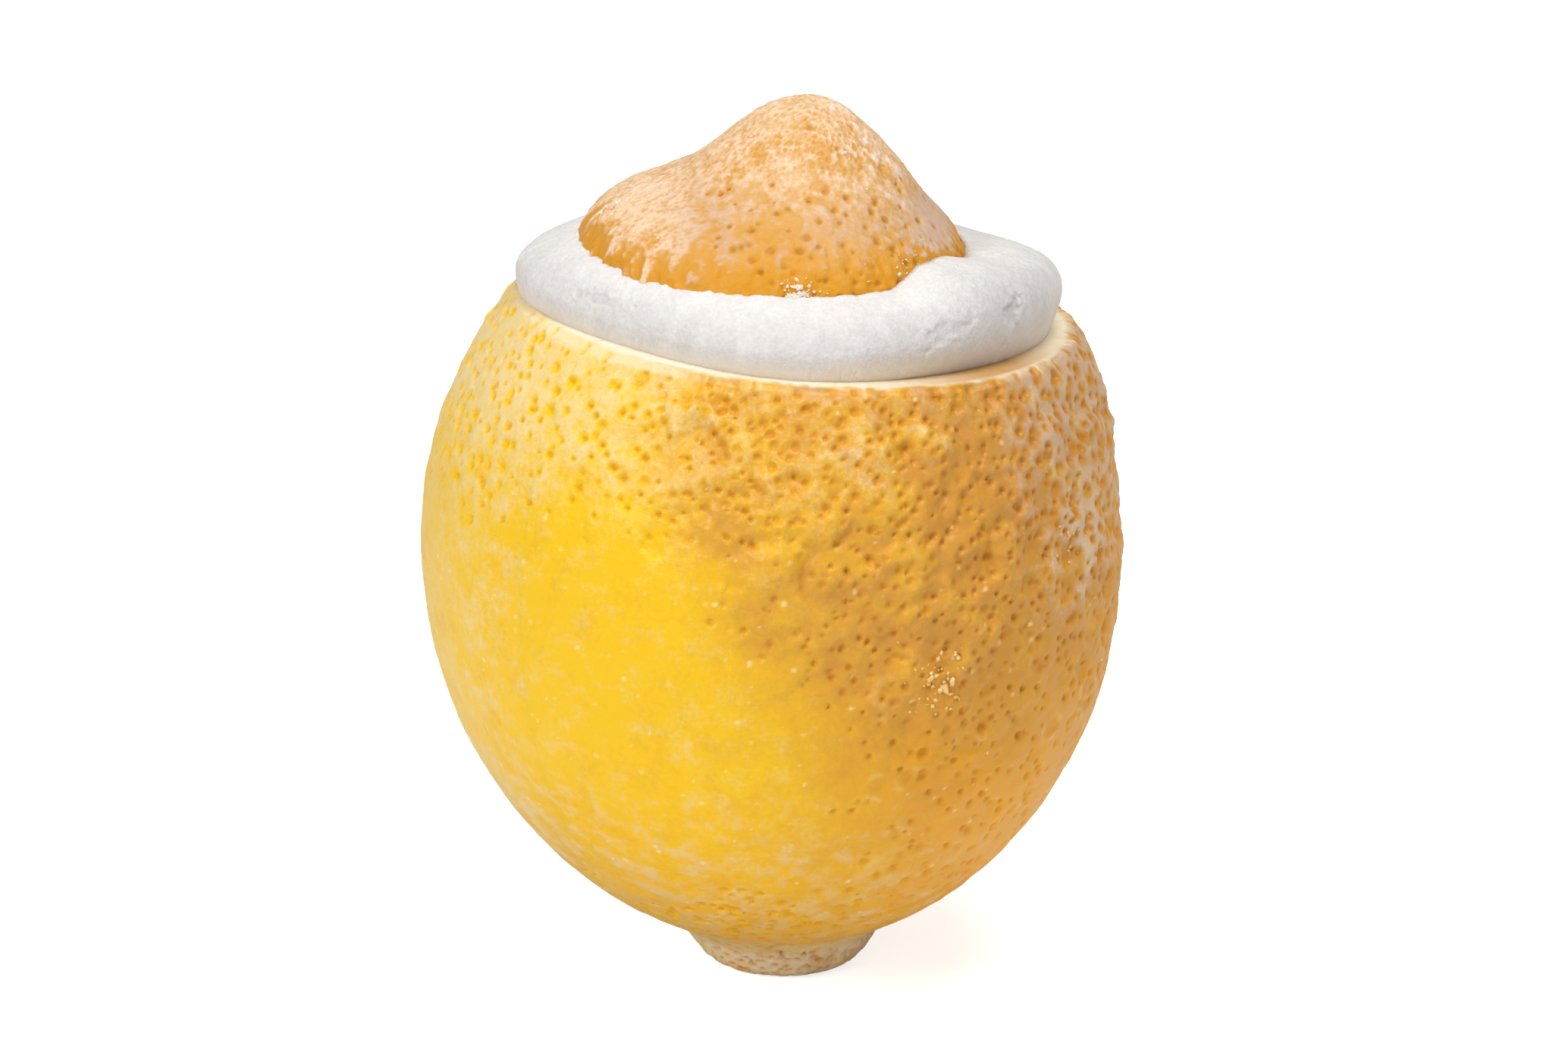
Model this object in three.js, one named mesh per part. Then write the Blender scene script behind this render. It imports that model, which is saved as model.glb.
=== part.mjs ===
// Lemon sorbet in its lemon shell: the hollowed fruit stands on its trimmed stem end, the sorbet fills it and
// swells out over the slanting cut, and the pointed end of the fruit is set back on top as its cap.
// Millimetres, +Z up. The origin is the middle of the flat foot, and the front of the dessert faces -Y.

import * as THREE from "three";
import { ParametricGeometry } from "three/addons/geometries/ParametricGeometry.js";

const { lerp, smoothstep } = THREE.MathUtils;

// Whole fruit: widest radius, its height above the foot, and how far each half reaches from there.
const FRUIT_RADIUS = 35;
const EQUATOR_HEIGHT = 44.4;
const LOWER_REACH = 41.05;
const UPPER_REACH = 38.6;
const LOWER_POWER = 2.03;
const UPPER_POWER = 2.16;

// The fruit's middle line bows to the left by this much, over this height.
const BOW = 1.1;
const BOW_HEIGHT = 80.5;

// Slow unevenness of the peel: its depth, and waves of so many turns round and so many mm up a radian.
const PEEL_SWELL = 0.15;
const PEEL_SWELL_FADE = 12;
const PEEL_WAVES = [
  { turns: 2, climb: 17, start: 0.8, share: 1 },
  { turns: 3, climb: -12, start: 2.1, share: 0.7 },
  { turns: 5, climb: 8, start: 4.2, share: 0.5 },
];

// Trimmed stem stub that the fruit stands on, with a crease where it leaves the fruit.
const STUB_RADIUS = 9.8;
const STUB_HEIGHT = 3.3;
const FOOT_RADIUS = 7.7;
const FOOT_ROUND = 1.5;
const CREASE_SHARPNESS = 5;

// Slanting cut across the fruit: its height over the origin, and its rise for each mm of X and of Y.
const CUT_HEIGHT = 68.85;
const CUT_RISE_X = -0.088;
const CUT_RISE_Y = -0.028;

// Thickness of peel and pith, and the clearance that neighbouring pieces keep.
const WALL = 4.2;
const GAP = 0.3;

// Ring where the sorbet leaves the cut, and how far it swells out between there and the cap: a share of the
// straight way, more on the right than on the left, and less at the back.
const SPREAD_RADIUS = 24.6;
const SPREAD_X = 0.6;
const SPREAD_Y = 1;
const SWELL_SHARE = 0.4;
const SWELL_RIGHT = 0.07;
const SWELL_BACK = 0.7;
const SWELL_BACK_FROM = -0.35;
const SWELL_BACK_FULL = 0.9;
const SWELL_POWER = 0.85;
const SWELL_LEAN = 0.72;
const SWELL_WAVES = [
  { turns: 3, start: 0.4, share: 0.06 },
  { turns: 7, start: 1.9, share: 0.03 },
];

// Share of the cap's radius that the sorbet creeps in over: at least, and how much more on the right.
const LAP = 0.008;
const LAP_RIGHT = 0.03;

// Cap: flat base, blunt-edged dome, and a rounded tip that stands right of the middle.
const CAP_RADIUS = 19.3;
const CAP_X = -0.8;
const CAP_Y = -0.95;
const CAP_HEIGHT = 74.4;
const CAP_TILT = 0.081;
const CAP_PITCH = -0.02;
const DOME_HEIGHT = 7.3;
const DOME_FLATNESS = 4.5;
const DOME_EDGE = 0.62;
const TIP_HEIGHT = 8.7;
const TIP_X = 2;
const TIP_WIDTH = 9.6;
const TIP_POWER = 2.65;
const TIP_FADE = 8;

// Finish of each piece.
const PEEL = { color: 0xf0c23c, roughness: 0.5, metalness: 0 };
const FROZEN = { color: 0xf4f0ea, roughness: 0.7, metalness: 0 };
const FROSTED_PEEL = { color: 0xe6a45c, roughness: 0.6, metalness: 0 };

// Fineness of the surfaces: divisions round the fruit, and rows along each stretch of a profile.
const AROUND = 64;
const STUB_ROWS = 6;
const SKIN_ROWS = 24;
const CAVITY_ROWS = 11;
const SWELL_ROWS = 9;
const CAP_ROWS = 12;
const CUT_STEPS = 16;
const ROW_STRETCH = 3;
const TURN = 2 * Math.PI;

// Sideways place of the fruit's middle line.
function middleX(height) {
  return -BOW * Math.sin((Math.PI * height) / BOW_HEIGHT);
}

// Radius of the plain fruit shape lying `inset` inside the skin.
function fruitRadius(height, inset) {
  const rise = height - EQUATOR_HEIGHT;
  const reach = (rise < 0 ? LOWER_REACH : UPPER_REACH) - inset;
  const power = rise < 0 ? LOWER_POWER : UPPER_POWER;
  const share = Math.min(1, Math.abs(rise) / reach);
  return (FRUIT_RADIUS - inset) * Math.sqrt(1 - share ** power);
}

// Radius of the stem stub: a slight taper down to the foot, whose edge is rounded.
function stubRadius(height) {
  const taper = lerp(FOOT_RADIUS, STUB_RADIUS, Math.min(1, height / STUB_HEIGHT));
  const short = Math.max(0, 1 - height / FOOT_ROUND);
  return taper - FOOT_ROUND * (1 - Math.sqrt(1 - short * short));
}

// Uneven swell of the peel, dying out towards the stub.
function peelSwell(angle, height) {
  const fade = smoothstep(height, STUB_HEIGHT, STUB_HEIGHT + PEEL_SWELL_FADE);
  const wave = ({ turns, climb, start, share }) => share * Math.sin(turns * angle + height / climb + start);
  return PEEL_SWELL * fade * PEEL_WAVES.reduce((sum, each) => sum + wave(each), 0);
}

// Radius of the skin, fruit and stub run together with a soft crease.
function skinRadius(height, angle) {
  const joined = fruitRadius(height, 0) ** CREASE_SHARPNESS + stubRadius(height) ** CREASE_SHARPNESS;
  return joined ** (1 / CREASE_SHARPNESS) + peelSwell(angle, height);
}

// Point at a radius round the middle line.
function pointAround(height, angle, radius, target) {
  return target.set(middleX(height) + radius * Math.cos(angle), radius * Math.sin(angle), height);
}

// Height of the slanting cut over a place in plan.
function cutHeight(x, y) {
  return CUT_HEIGHT + CUT_RISE_X * x + CUT_RISE_Y * y;
}

// Height at which a surface of revolution, given as its radius by height, meets the cut raised by `lift`.
function heightAtCut(radiusAt, angle, lift) {
  const point = new THREE.Vector3();
  let height = CUT_HEIGHT;
  for (let step = 0; step < CUT_STEPS; step += 1) {
    pointAround(height, angle, radiusAt(height, angle), point);
    height = cutHeight(point.x, point.y) + lift;
  }
  return height;
}

// Outline of the skin from the stub to the cut, for rows spaced evenly along it.
class SkinOutline extends THREE.Curve {
  getPoint(t, target = new THREE.Vector2()) {
    const height = lerp(STUB_HEIGHT, CUT_HEIGHT, t);
    return target.set(skinRadius(height, 0), height);
  }
}

// Ring on the skin; the upper rows stretch so that the topmost one lies in the cut.
function skinRing(level) {
  return (angle, target) => {
    const stretch = (heightAtCut(skinRadius, angle, 0) - CUT_HEIGHT) * (level / CUT_HEIGHT) ** ROW_STRETCH;
    const height = level + stretch;
    return pointAround(height, angle, skinRadius(height, angle), target);
  };
}

// Ring on the cavity wall, `share` of the way from the cut (0) down to the floor (1).
function cavityRing(share, inset, lift) {
  const floor = EQUATOR_HEIGHT - LOWER_REACH + inset;
  const radiusAt = (height) => fruitRadius(height, inset);
  return (angle, target) => {
    const height = lerp(floor, heightAtCut(radiusAt, angle, lift), 1 - Math.sin((share * Math.PI) / 2));
    return pointAround(height, angle, radiusAt(height), target);
  };
}

// Rings down the cavity wall from the cut to a single point on the floor.
function cavityRings(inset, lift) {
  return Array.from({ length: CAVITY_ROWS + 1 }, (_, row) => cavityRing(row / CAVITY_ROWS, inset, lift));
}

// Ring shrunk to one point.
function pole(x, y, z) {
  return (angle, target) => target.set(x, y, z);
}

// Closed skin through a stack of rings, each a function from angle to point, from one pole to the other.
function skinThrough(rings) {
  const last = rings.length - 1;
  const upper = new THREE.Vector3();
  const place = (u, v, target) => {
    const row = Math.min(Math.floor(v * last), last - 1);
    rings[row + 1](u * TURN, upper);
    rings[row](u * TURN, target).lerp(upper, v * last - row);
  };
  return new ParametricGeometry(place, AROUND, last);
}

// Shell: up the outside from the foot, over the cut, and down the cavity to its floor.
function shellGeometry() {
  const stubLevels = Array.from({ length: STUB_ROWS }, (_, row) => (STUB_HEIGHT * row) / STUB_ROWS);
  const skinLevels = new SkinOutline().getSpacedPoints(SKIN_ROWS).map((point) => point.y);
  const skin = [...stubLevels, ...skinLevels].map(skinRing);
  return skinThrough([pole(0, 0, 0), ...skin, ...cavityRings(WALL, 0)]);
}

// Height of the cap over its base: a blunt-edged dome that carries the off-centre tip.
function capHeight(x, y) {
  const share = Math.min(1, Math.hypot(x, y) / CAP_RADIUS);
  const dome = DOME_HEIGHT * (1 - share ** DOME_FLATNESS) ** DOME_EDGE;
  const tip = TIP_HEIGHT * Math.exp(-((Math.hypot(x - TIP_X, y) / TIP_WIDTH) ** TIP_POWER));
  return dome + tip * (1 - share ** TIP_FADE);
}

// Point on the cap's skin in the cap's own frame; the rings close in on the tip, from 1 at the edge to 0.
function capPoint(share, angle, target) {
  const x = TIP_X * (1 - share) + CAP_RADIUS * share * Math.cos(angle);
  const y = CAP_RADIUS * share * Math.sin(angle);
  return target.set(x, y, capHeight(x, y));
}

// Cap: flat base, then in from the edge to the tip, with rows closest at the blunt edge.
function capGeometry() {
  const rings = [pole(0, 0, 0)];
  for (let row = 0; row <= CAP_ROWS; row += 1) {
    const share = Math.cos((row / CAP_ROWS) * (Math.PI / 2));
    rings.push((angle, target) => capPoint(share, angle, target));
  }
  return skinThrough(rings);
}

// Ring where the sorbet leaves the cut.
function spreadRing(angle, target) {
  const x = SPREAD_X + SPREAD_RADIUS * Math.cos(angle);
  const y = SPREAD_Y + SPREAD_RADIUS * Math.sin(angle);
  return target.set(x, y, cutHeight(x, y) + GAP);
}

// Ring where the sorbet ends against the cap, clear of its skin.
function lapRing(angle, target, capFrame) {
  const share = 1 - LAP - LAP_RIGHT * ((1 + Math.cos(angle)) / 2) ** 2;
  capPoint(share, angle, target);
  target.x += GAP * Math.cos(angle);
  target.y += GAP * Math.sin(angle);
  target.z += GAP;
  return capFrame.localToWorld(target);
}

// Ring under the cap's edge, in the recess that the cap sits in.
function seatRing(angle, target, capFrame) {
  const radius = CAP_RADIUS + GAP;
  return capFrame.localToWorld(target.set(radius * Math.cos(angle), radius * Math.sin(angle), -GAP));
}

// How far the sorbet swells out at an angle, as a share of the straight way from the cut to the cap.
function swellShare(angle) {
  const wave = ({ turns, start, share }) => share * Math.sin(turns * angle + start);
  const uneven = SWELL_WAVES.reduce((sum, each) => sum + wave(each), 1);
  const back = 1 - SWELL_BACK * smoothstep(Math.sin(angle), SWELL_BACK_FROM, SWELL_BACK_FULL);
  return (SWELL_SHARE + SWELL_RIGHT * Math.cos(angle)) * uneven * back;
}

// Ring on the free surface, `share` of the way from the cut to the cap, swelling out from the straight line.
function swellRing(share, capFrame) {
  const top = new THREE.Vector3();
  return (angle, target) => {
    lapRing(angle, top, capFrame);
    spreadRing(angle, target);
    const rise = top.z - target.z;
    const inward = (target.x - top.x) * Math.cos(angle) + (target.y - top.y) * Math.sin(angle);
    const swell = swellShare(angle) * Math.sin(Math.PI * share ** SWELL_LEAN) ** SWELL_POWER;
    target.lerp(top, share);
    target.x += swell * rise * Math.cos(angle);
    target.y += swell * rise * Math.sin(angle);
    target.z += swell * inward;
    return target;
  };
}

// Sorbet: up the cavity, out over the cut, round the swelling, and down into the seat under the cap.
function sorbetGeometry(capFrame) {
  const cavity = cavityRings(WALL + GAP, GAP).reverse();
  const swelling = [];
  for (let row = 1; row < SWELL_ROWS; row += 1) {
    swelling.push(swellRing(row / SWELL_ROWS, capFrame));
  }
  const lap = (angle, target) => lapRing(angle, target, capFrame);
  const seat = (angle, target) => seatRing(angle, target, capFrame);
  const under = capFrame.localToWorld(new THREE.Vector3(0, 0, -GAP));
  return skinThrough([...cavity, spreadRing, ...swelling, lap, seat, pole(under.x, under.y, under.z)]);
}

// Named mesh with its own finish.
function piece(name, geometry, finish) {
  const mesh = new THREE.Mesh(geometry, new THREE.MeshStandardMaterial(finish));
  mesh.name = name;
  return mesh;
}

// Dessert, with the cap in a tilted frame of its own.
function lemonDessert() {
  const dessert = new THREE.Group();
  const capFrame = new THREE.Group();
  capFrame.position.set(CAP_X, CAP_Y, CAP_HEIGHT);
  capFrame.rotation.set(CAP_PITCH, CAP_TILT, 0);
  capFrame.updateMatrixWorld();
  capFrame.add(piece("lemon_cap", capGeometry(), FROSTED_PEEL));
  dessert.add(piece("lemon_shell", shellGeometry(), PEEL));
  dessert.add(piece("sorbet", sorbetGeometry(capFrame), FROZEN));
  dessert.add(capFrame);
  return dessert;
}

export default lemonDessert();
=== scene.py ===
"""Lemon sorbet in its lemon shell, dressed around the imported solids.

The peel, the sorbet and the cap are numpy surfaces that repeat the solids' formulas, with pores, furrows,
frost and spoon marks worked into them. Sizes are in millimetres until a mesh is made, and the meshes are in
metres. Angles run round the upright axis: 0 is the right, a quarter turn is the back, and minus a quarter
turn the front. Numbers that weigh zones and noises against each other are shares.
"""

from __future__ import annotations

import logging
import math
from dataclasses import dataclass, field
from enum import Enum

import bpy
import numpy as np
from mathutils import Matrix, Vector


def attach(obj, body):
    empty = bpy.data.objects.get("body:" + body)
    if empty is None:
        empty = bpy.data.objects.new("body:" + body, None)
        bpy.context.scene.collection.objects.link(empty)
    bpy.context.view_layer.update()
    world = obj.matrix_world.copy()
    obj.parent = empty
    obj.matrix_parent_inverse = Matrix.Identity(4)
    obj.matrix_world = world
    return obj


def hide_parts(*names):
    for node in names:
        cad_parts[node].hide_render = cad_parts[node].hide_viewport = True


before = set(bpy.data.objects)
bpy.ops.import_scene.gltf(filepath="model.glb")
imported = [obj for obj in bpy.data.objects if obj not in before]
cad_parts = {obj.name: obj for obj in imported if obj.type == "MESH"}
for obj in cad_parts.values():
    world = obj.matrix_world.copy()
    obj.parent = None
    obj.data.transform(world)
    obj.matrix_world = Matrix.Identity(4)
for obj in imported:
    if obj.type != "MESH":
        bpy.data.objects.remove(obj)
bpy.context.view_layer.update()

LOG = logging.getLogger("lemon")
MM = 0.001
TURN = 2.0 * math.pi
WHITE = (1.0, 1.0, 1.0, 1.0)
FAR = 1e6
TINY = 1e-9
BAKE_MAP = "OFBake"
BODY = "root"
# Where frost has clumped on the right of the peel.
CLUMP_MIDDLE = (28.6, -18.6, 49.5)

# Places of the colour sockets on Blender's Mix node.
MIX_SHARE = 0
MIX_FIRST = 6
MIX_SECOND = 7
MIX_RESULT = 2

# Factors and shifts that stir whole numbers into random ones.
CELL_FACTORS = np.array([73856093, 19349663, 83492791], np.uint32)
SEED_FACTOR = 2654435761
STIR_FACTOR = np.uint32(0x45D9F3B)
STIR_SHIFT = np.uint32(16)
WORD = 2**32
LAYER_STEP = 31
CORNERS = np.stack(np.meshgrid([0, 1], [0, 1], [0, 1], indexing="ij"), -1).reshape(-1, 3)

Array = np.ndarray
Colour = tuple[float, float, float, float]
Triple = tuple[float, float, float]
Marks = dict[str, Array]
Material = bpy.types.Material
NodeTree = bpy.types.NodeTree
Socket = bpy.types.NodeSocket
Inputs = dict[str, object] | dict[int, object]


def srgb(red: float, green: float, blue: float) -> Colour:
    """Linear colour of a display colour, by the sRGB curve.

    Args:
        red: Display red, 0 to 255.
        green: Display green, 0 to 255.
        blue: Display blue, 0 to 255.

    Returns:
        Linear red, green and blue, and full cover.
    """
    shares = np.array([red, green, blue]) / 255.0
    linear = np.where(shares <= 0.04045, shares / 12.92, ((shares + 0.055) / 1.055) ** 2.4)
    return (float(linear[0]), float(linear[1]), float(linear[2]), 1.0)


def smooth_share(value: Array, low: float, high: float) -> Array:
    """Smooth step, 0 at low and 1 at high: 3 t squared less 2 t cubed of the share t between them."""
    share = np.clip((value - low) / (high - low), 0.0, 1.0)
    return share * share * (3.0 - 2.0 * share)


def cell_share(cells: Array, seed: int) -> Array:
    """Repeatable random share of whole-numbered cells.

    The cell numbers are multiplied by large factors, joined bit by bit with the seed, and stirred by shifts
    and products.

    Args:
        cells: Whole numbers, three in the last axis.
        seed: Which of the many random fields to read.

    Returns:
        Shares from 0 to 1, one for each cell.
    """
    parts = cells.astype(np.uint32) * CELL_FACTORS
    mixed = parts[..., 0] ^ parts[..., 1] ^ parts[..., 2] ^ np.uint32(seed * SEED_FACTOR % WORD)
    for _ in range(2):
        mixed ^= mixed >> STIR_SHIFT
        mixed *= STIR_FACTOR
    mixed ^= mixed >> STIR_SHIFT
    return mixed / WORD


def soft_noise(points: Array, size: float, seed: int) -> Array:
    """Smooth noise: random values at the corners of cubic cells, blended across each cell by smooth steps.

    Args:
        points: Places in mm, three in the last axis.
        size: Side of a cell in mm.
        seed: Which random field to read.

    Returns:
        Values from -1 to 1.
    """
    place = points / size
    cell = np.floor(place).astype(np.int64)
    share = smooth_share(place - cell, 0.0, 1.0)
    total = np.zeros(points.shape[:-1])
    for corner in CORNERS:
        weight = np.prod(np.where(corner, share, 1.0 - share), axis=-1)
        total += weight * cell_share(cell + corner, seed)
    return 2.0 * total - 1.0


def layered_noise(points: Array, size: float, seed: int, layers: int = 3) -> Array:
    """Sum of smooth noises, each half as large and half as strong as the one before.

    Args:
        points: Places in mm, three in the last axis.
        size: Side of the largest cells in mm.
        seed: Which random fields to read.
        layers: How many noises to add.

    Returns:
        Values from about -1 to 1.
    """
    total = np.zeros(points.shape[:-1])
    strength = 1.0
    for layer in range(layers):
        total += strength * soft_noise(points, size * 0.5**layer, seed + LAYER_STEP * layer)
        strength *= 0.5
    return total / (2.0 - 2.0 * strength)


def bell(value: Array, middle: float, width: float) -> Array:
    """Bell curve, 1 at the middle: e to the minus square of the distance from it over the width."""
    return np.exp(-(((value - middle) / width) ** 2))


def grid_normals(points: Array) -> Array:
    """Outward unit normals of a grid that closes round its columns.

    Args:
        points: Places, rows by columns by three, the columns running anticlockwise.

    Returns:
        The cross product of the way round and the way up, scaled to length one.
    """
    around = np.roll(points, -1, axis=1) - np.roll(points, 1, axis=1)
    upward = np.gradient(points, axis=0)
    normals = np.cross(around, upward)
    return normals / np.maximum(np.linalg.norm(normals, axis=-1, keepdims=True), TINY)


def way_along(line: Array) -> Array:
    """Length along a line up to each of its points, which have two or three numbers each."""
    return np.concatenate([[0.0], np.cumsum(np.linalg.norm(np.diff(line, axis=0), axis=1))])


def even_rows(profile: Array, count: int) -> Array:
    """Places along a profile that are evenly spaced by its length.

    Args:
        profile: Points of the profile in order, two or three numbers each.
        count: How many places to give.

    Returns:
        Shares of the profile's own index, from 0 to 1.
    """
    length = way_along(profile)
    index = np.linspace(0.0, 1.0, len(profile))
    return np.interp(np.linspace(0.0, length[-1], count), length, index)


@dataclass(frozen=True)
class Fade:
    """Smooth change of a share along one measure: the value that gives 0 and the value that gives 1."""

    none: float
    full: float

    def at(self, value: Array) -> Array:
        """Share at a value, by a smooth step."""
        return smooth_share(value, self.none, self.full)


@dataclass(frozen=True)
class Mound:
    """Bell-shaped mask round a place: its middle and radius in mm, and the weight that a sum gives it."""

    middle: Triple
    radius: float
    weight: float = 1.0

    def at(self, points: Array) -> Array:
        """Mask of points: e to the minus squared distance over squared radius."""
        return np.exp(-((points - np.array(self.middle)) ** 2).sum(-1) / self.radius**2)


@dataclass(frozen=True)
class Wave:
    """Sine wave round the fruit: whole turns, start in radians, share of the depth, and mm climbed a radian.

    A wave that climbs without end stands upright.
    """

    turns: int
    start: float
    share: float
    climb: float = math.inf

    def at(self, angle: Array, height: Array | float = 0.0) -> Array:
        """Height of the wave at an angle and a height."""
        return self.share * np.sin(self.turns * angle + height / self.climb + self.start)


@dataclass(frozen=True)
class Chart:
    """Flat map of a rounded skin: each point's way up the skin, its angle and its ring's radius.

    A profile gives ring radii at lengths along the skin, so that rings of pits can be laid out.
    """

    way: Array
    angle: Array
    ring: Array
    profile_way: Array
    profile_ring: Array


@dataclass(frozen=True)
class PitField:
    """Scattered round pits in rings round a skin, one in each cell of a ring, at a random place in it.

    Fields: the rings' spacing, a pit's usual radius, the share by which radii vary, the seed, the share of
    its cell that a pit's place varies by, and how far and how finely the outlines wander. Sizes are in mm.
    """

    spacing: float
    radius: float
    vary: float
    seed: int
    loose: float = 0.8
    stray: float = 0.12
    stray_size: float = 0.8

    def scan(self, points: Array, chart: Chart, presence: Array) -> tuple[Array, Array]:
        """Finds the nearest pit of every point.

        A ring holds as many cells as its length allows, starting at a random angle. A pit counts where its
        random chance is under the presence asked for. Distances are measured on the flat map, from places
        that are moved a little by noise so that the outlines aren't round.

        Args:
            points: Places on the skin, for the noise.
            chart: The same places on the flat map.
            presence: Share of the pits wanted at each point.

        Returns:
            Distance to the nearest pit as a share of its radius, and a random share that belongs to that pit.
        """
        way = chart.way + self.stray * soft_noise(points, self.stray_size, self.seed + 11)
        safe_ring = np.maximum(chart.ring, 0.5)
        angle = chart.angle + self.stray * soft_noise(points, self.stray_size, self.seed + 12) / safe_ring
        row = np.floor(way / self.spacing).astype(np.int64)
        near = np.full(len(points), FAR)
        own = np.zeros(len(points))
        for row_step in (-1, 0, 1):
            there = row + row_step
            ring = np.interp((there + 0.5) * self.spacing, chart.profile_way, chart.profile_ring)
            cells = np.maximum(3, np.round(TURN * ring / self.spacing)).astype(np.int64)
            none = np.zeros_like(there)
            first = cell_share(np.stack([there, none, none], -1), self.seed)
            turn = (angle / TURN + first) % 1.0 * cells
            for step in (-1, 0, 1):
                cell = np.stack([there, (np.floor(turn).astype(np.int64) + step) % cells, none], -1)
                aside = 0.5 + self.loose * (cell_share(cell, self.seed + 1) - 0.5)
                above = 0.5 + self.loose * (cell_share(cell, self.seed + 2) - 0.5)
                across = (turn - np.floor(turn) - step - aside) / cells * TURN * chart.ring
                up = way - (there + above) * self.spacing
                wide = self.radius * (1.0 + self.vary * (2.0 * cell_share(cell, self.seed + 4) - 1.0))
                wide *= smooth_share(presence - cell_share(cell, self.seed + 3), 0.0, 0.1)
                share = np.hypot(across, up) / np.maximum(wide, TINY)
                closer = share < near
                near = np.where(closer, share, near)
                own = np.where(closer, cell_share(cell, self.seed + 5), own)
        return near, own


@dataclass
class Surface:
    """Closed surface ready to become a mesh: places in mm, faces, their bake map, point marks and normals."""

    points: Array
    quads: Array
    triangles: Array
    quad_map: Array
    triangle_map: Array
    marks: Marks = field(default_factory=dict)
    normals: Array | None = None

    def to_piece(self, name: str, material: Material, slot: str, node: str) -> bpy.types.Object:
        """Makes the mesh object, smooth-shaded, and ties it to the frame.

        Args:
            name: Name of the piece.
            material: Finish of the piece.
            slot: Material slot of the record; not used.
            node: Solid that the piece stands for.

        Returns:
            The new object, which rides on the body.
        """
        mesh = bpy.data.meshes.new(name)
        corners = np.concatenate([self.quads.ravel(), self.triangles.ravel()])
        starts = np.concatenate(
            [4 * np.arange(len(self.quads)), self.quads.size + 3 * np.arange(len(self.triangles))]
        )
        mesh.vertices.add(len(self.points))
        mesh.vertices.foreach_set("co", (self.points * MM).astype(np.float32).ravel())
        mesh.loops.add(len(corners))
        mesh.loops.foreach_set("vertex_index", corners.astype(np.int32))
        mesh.polygons.add(len(starts))
        mesh.polygons.foreach_set("loop_start", starts.astype(np.int32))
        mesh.update(calc_edges=True)
        mesh.polygons.foreach_set("use_smooth", np.ones(len(starts), bool))
        places = np.concatenate([self.quad_map.reshape(-1, 2), self.triangle_map.reshape(-1, 2)])
        mesh.uv_layers.new(name=BAKE_MAP).uv.foreach_set("vector", places.astype(np.float32).ravel())
        for mark, values in self.marks.items():
            layer = mesh.attributes.new(mark, "FLOAT", "POINT")
            layer.data.foreach_set("value", values.astype(np.float32).ravel())
        if self.normals is not None:
            mesh.normals_split_custom_set_from_vertices(self.normals.astype(np.float32))
        mesh.materials.append(material)
        piece = bpy.data.objects.new(name, mesh)
        bpy.context.scene.collection.objects.link(piece)
        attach(piece, BODY)
        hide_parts(node)
        LOG.info("%s: %d points, %d faces", name, len(self.points), len(starts))
        return piece


def grid_faces(rows: int, columns: int, wrap: bool) -> tuple[Array, Array]:
    """Four-cornered faces of a grid of points, and their places on a unit map.

    Args:
        rows: Rows of points.
        columns: Columns of points.
        wrap: True if the last column joins the first.

    Returns:
        Point numbers of the faces, and the map places of their corners.
    """
    spans = columns if wrap else columns - 1
    row, column = np.meshgrid(np.arange(rows - 1), np.arange(spans), indexing="ij")
    row, column = row.ravel(), column.ravel()
    after = (column + 1) % columns
    start = row * columns
    above = start + columns
    quads = np.stack([start + column, start + after, above + after, above + column], 1)
    across = np.stack([column, column + 1, column + 1, column], 1) / spans
    along = np.stack([row + 1, row + 1, row + 2, row + 2], 1) / (rows + 1)
    return quads, np.stack([across, along], -1)


def pole_faces(rows: int, columns: int, wrap: bool, low: int, high: int) -> tuple[Array, Array]:
    """Three-cornered faces from the first and last rows of a grid to its two poles.

    Args:
        rows: Rows of points.
        columns: Columns of points.
        wrap: True if the last column joins the first.
        low: Point number of the pole before the first row.
        high: Point number of the pole after the last row.

    Returns:
        Point numbers of the faces, and the map places of their corners.
    """
    spans = columns if wrap else columns - 1
    column = np.arange(spans)
    after = (column + 1) % columns
    last = (rows - 1) * columns
    first_fan = np.stack([np.full(spans, low), after, column], 1)
    last_fan = np.stack([last + column, last + after, np.full(spans, high)], 1)
    here, there = column / spans, (column + 1) / spans
    middle = np.full(spans, 0.5)
    across = np.concatenate([np.stack([middle, there, here], 1), np.stack([here, there, middle], 1)])
    near, far = np.full(spans, 1.0 / (rows + 1)), np.full(spans, rows / (rows + 1.0))
    none, full = np.zeros(spans), np.ones(spans)
    along = np.concatenate([np.stack([none, near, near], 1), np.stack([far, far, full], 1)])
    return np.concatenate([first_fan, last_fan]), np.stack([across, along], -1)


def stacked_surface(rings: Array, low: Array, high: Array, marks: Marks) -> Surface:
    """Closed surface through a stack of rings, from one pole to the other.

    Args:
        rings: Places, rows by columns by three.
        low: Pole before the first ring.
        high: Pole after the last ring.
        marks: Point marks, rows by columns each; a pole takes its nearest row's mean.

    Returns:
        The surface, with the poles as its last two points.
    """
    rows, columns = rings.shape[:2]
    count = rows * columns
    quads, quad_map = grid_faces(rows, columns, True)
    triangles, triangle_map = pole_faces(rows, columns, True, count, count + 1)
    points = np.concatenate([rings.reshape(-1, 3), [low], [high]])
    full = {
        name: np.concatenate([values.ravel(), [values[0].mean()], [values[-1].mean()]])
        for name, values in marks.items()
    }
    return Surface(points, quads, triangles, quad_map, triangle_map, full)


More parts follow.
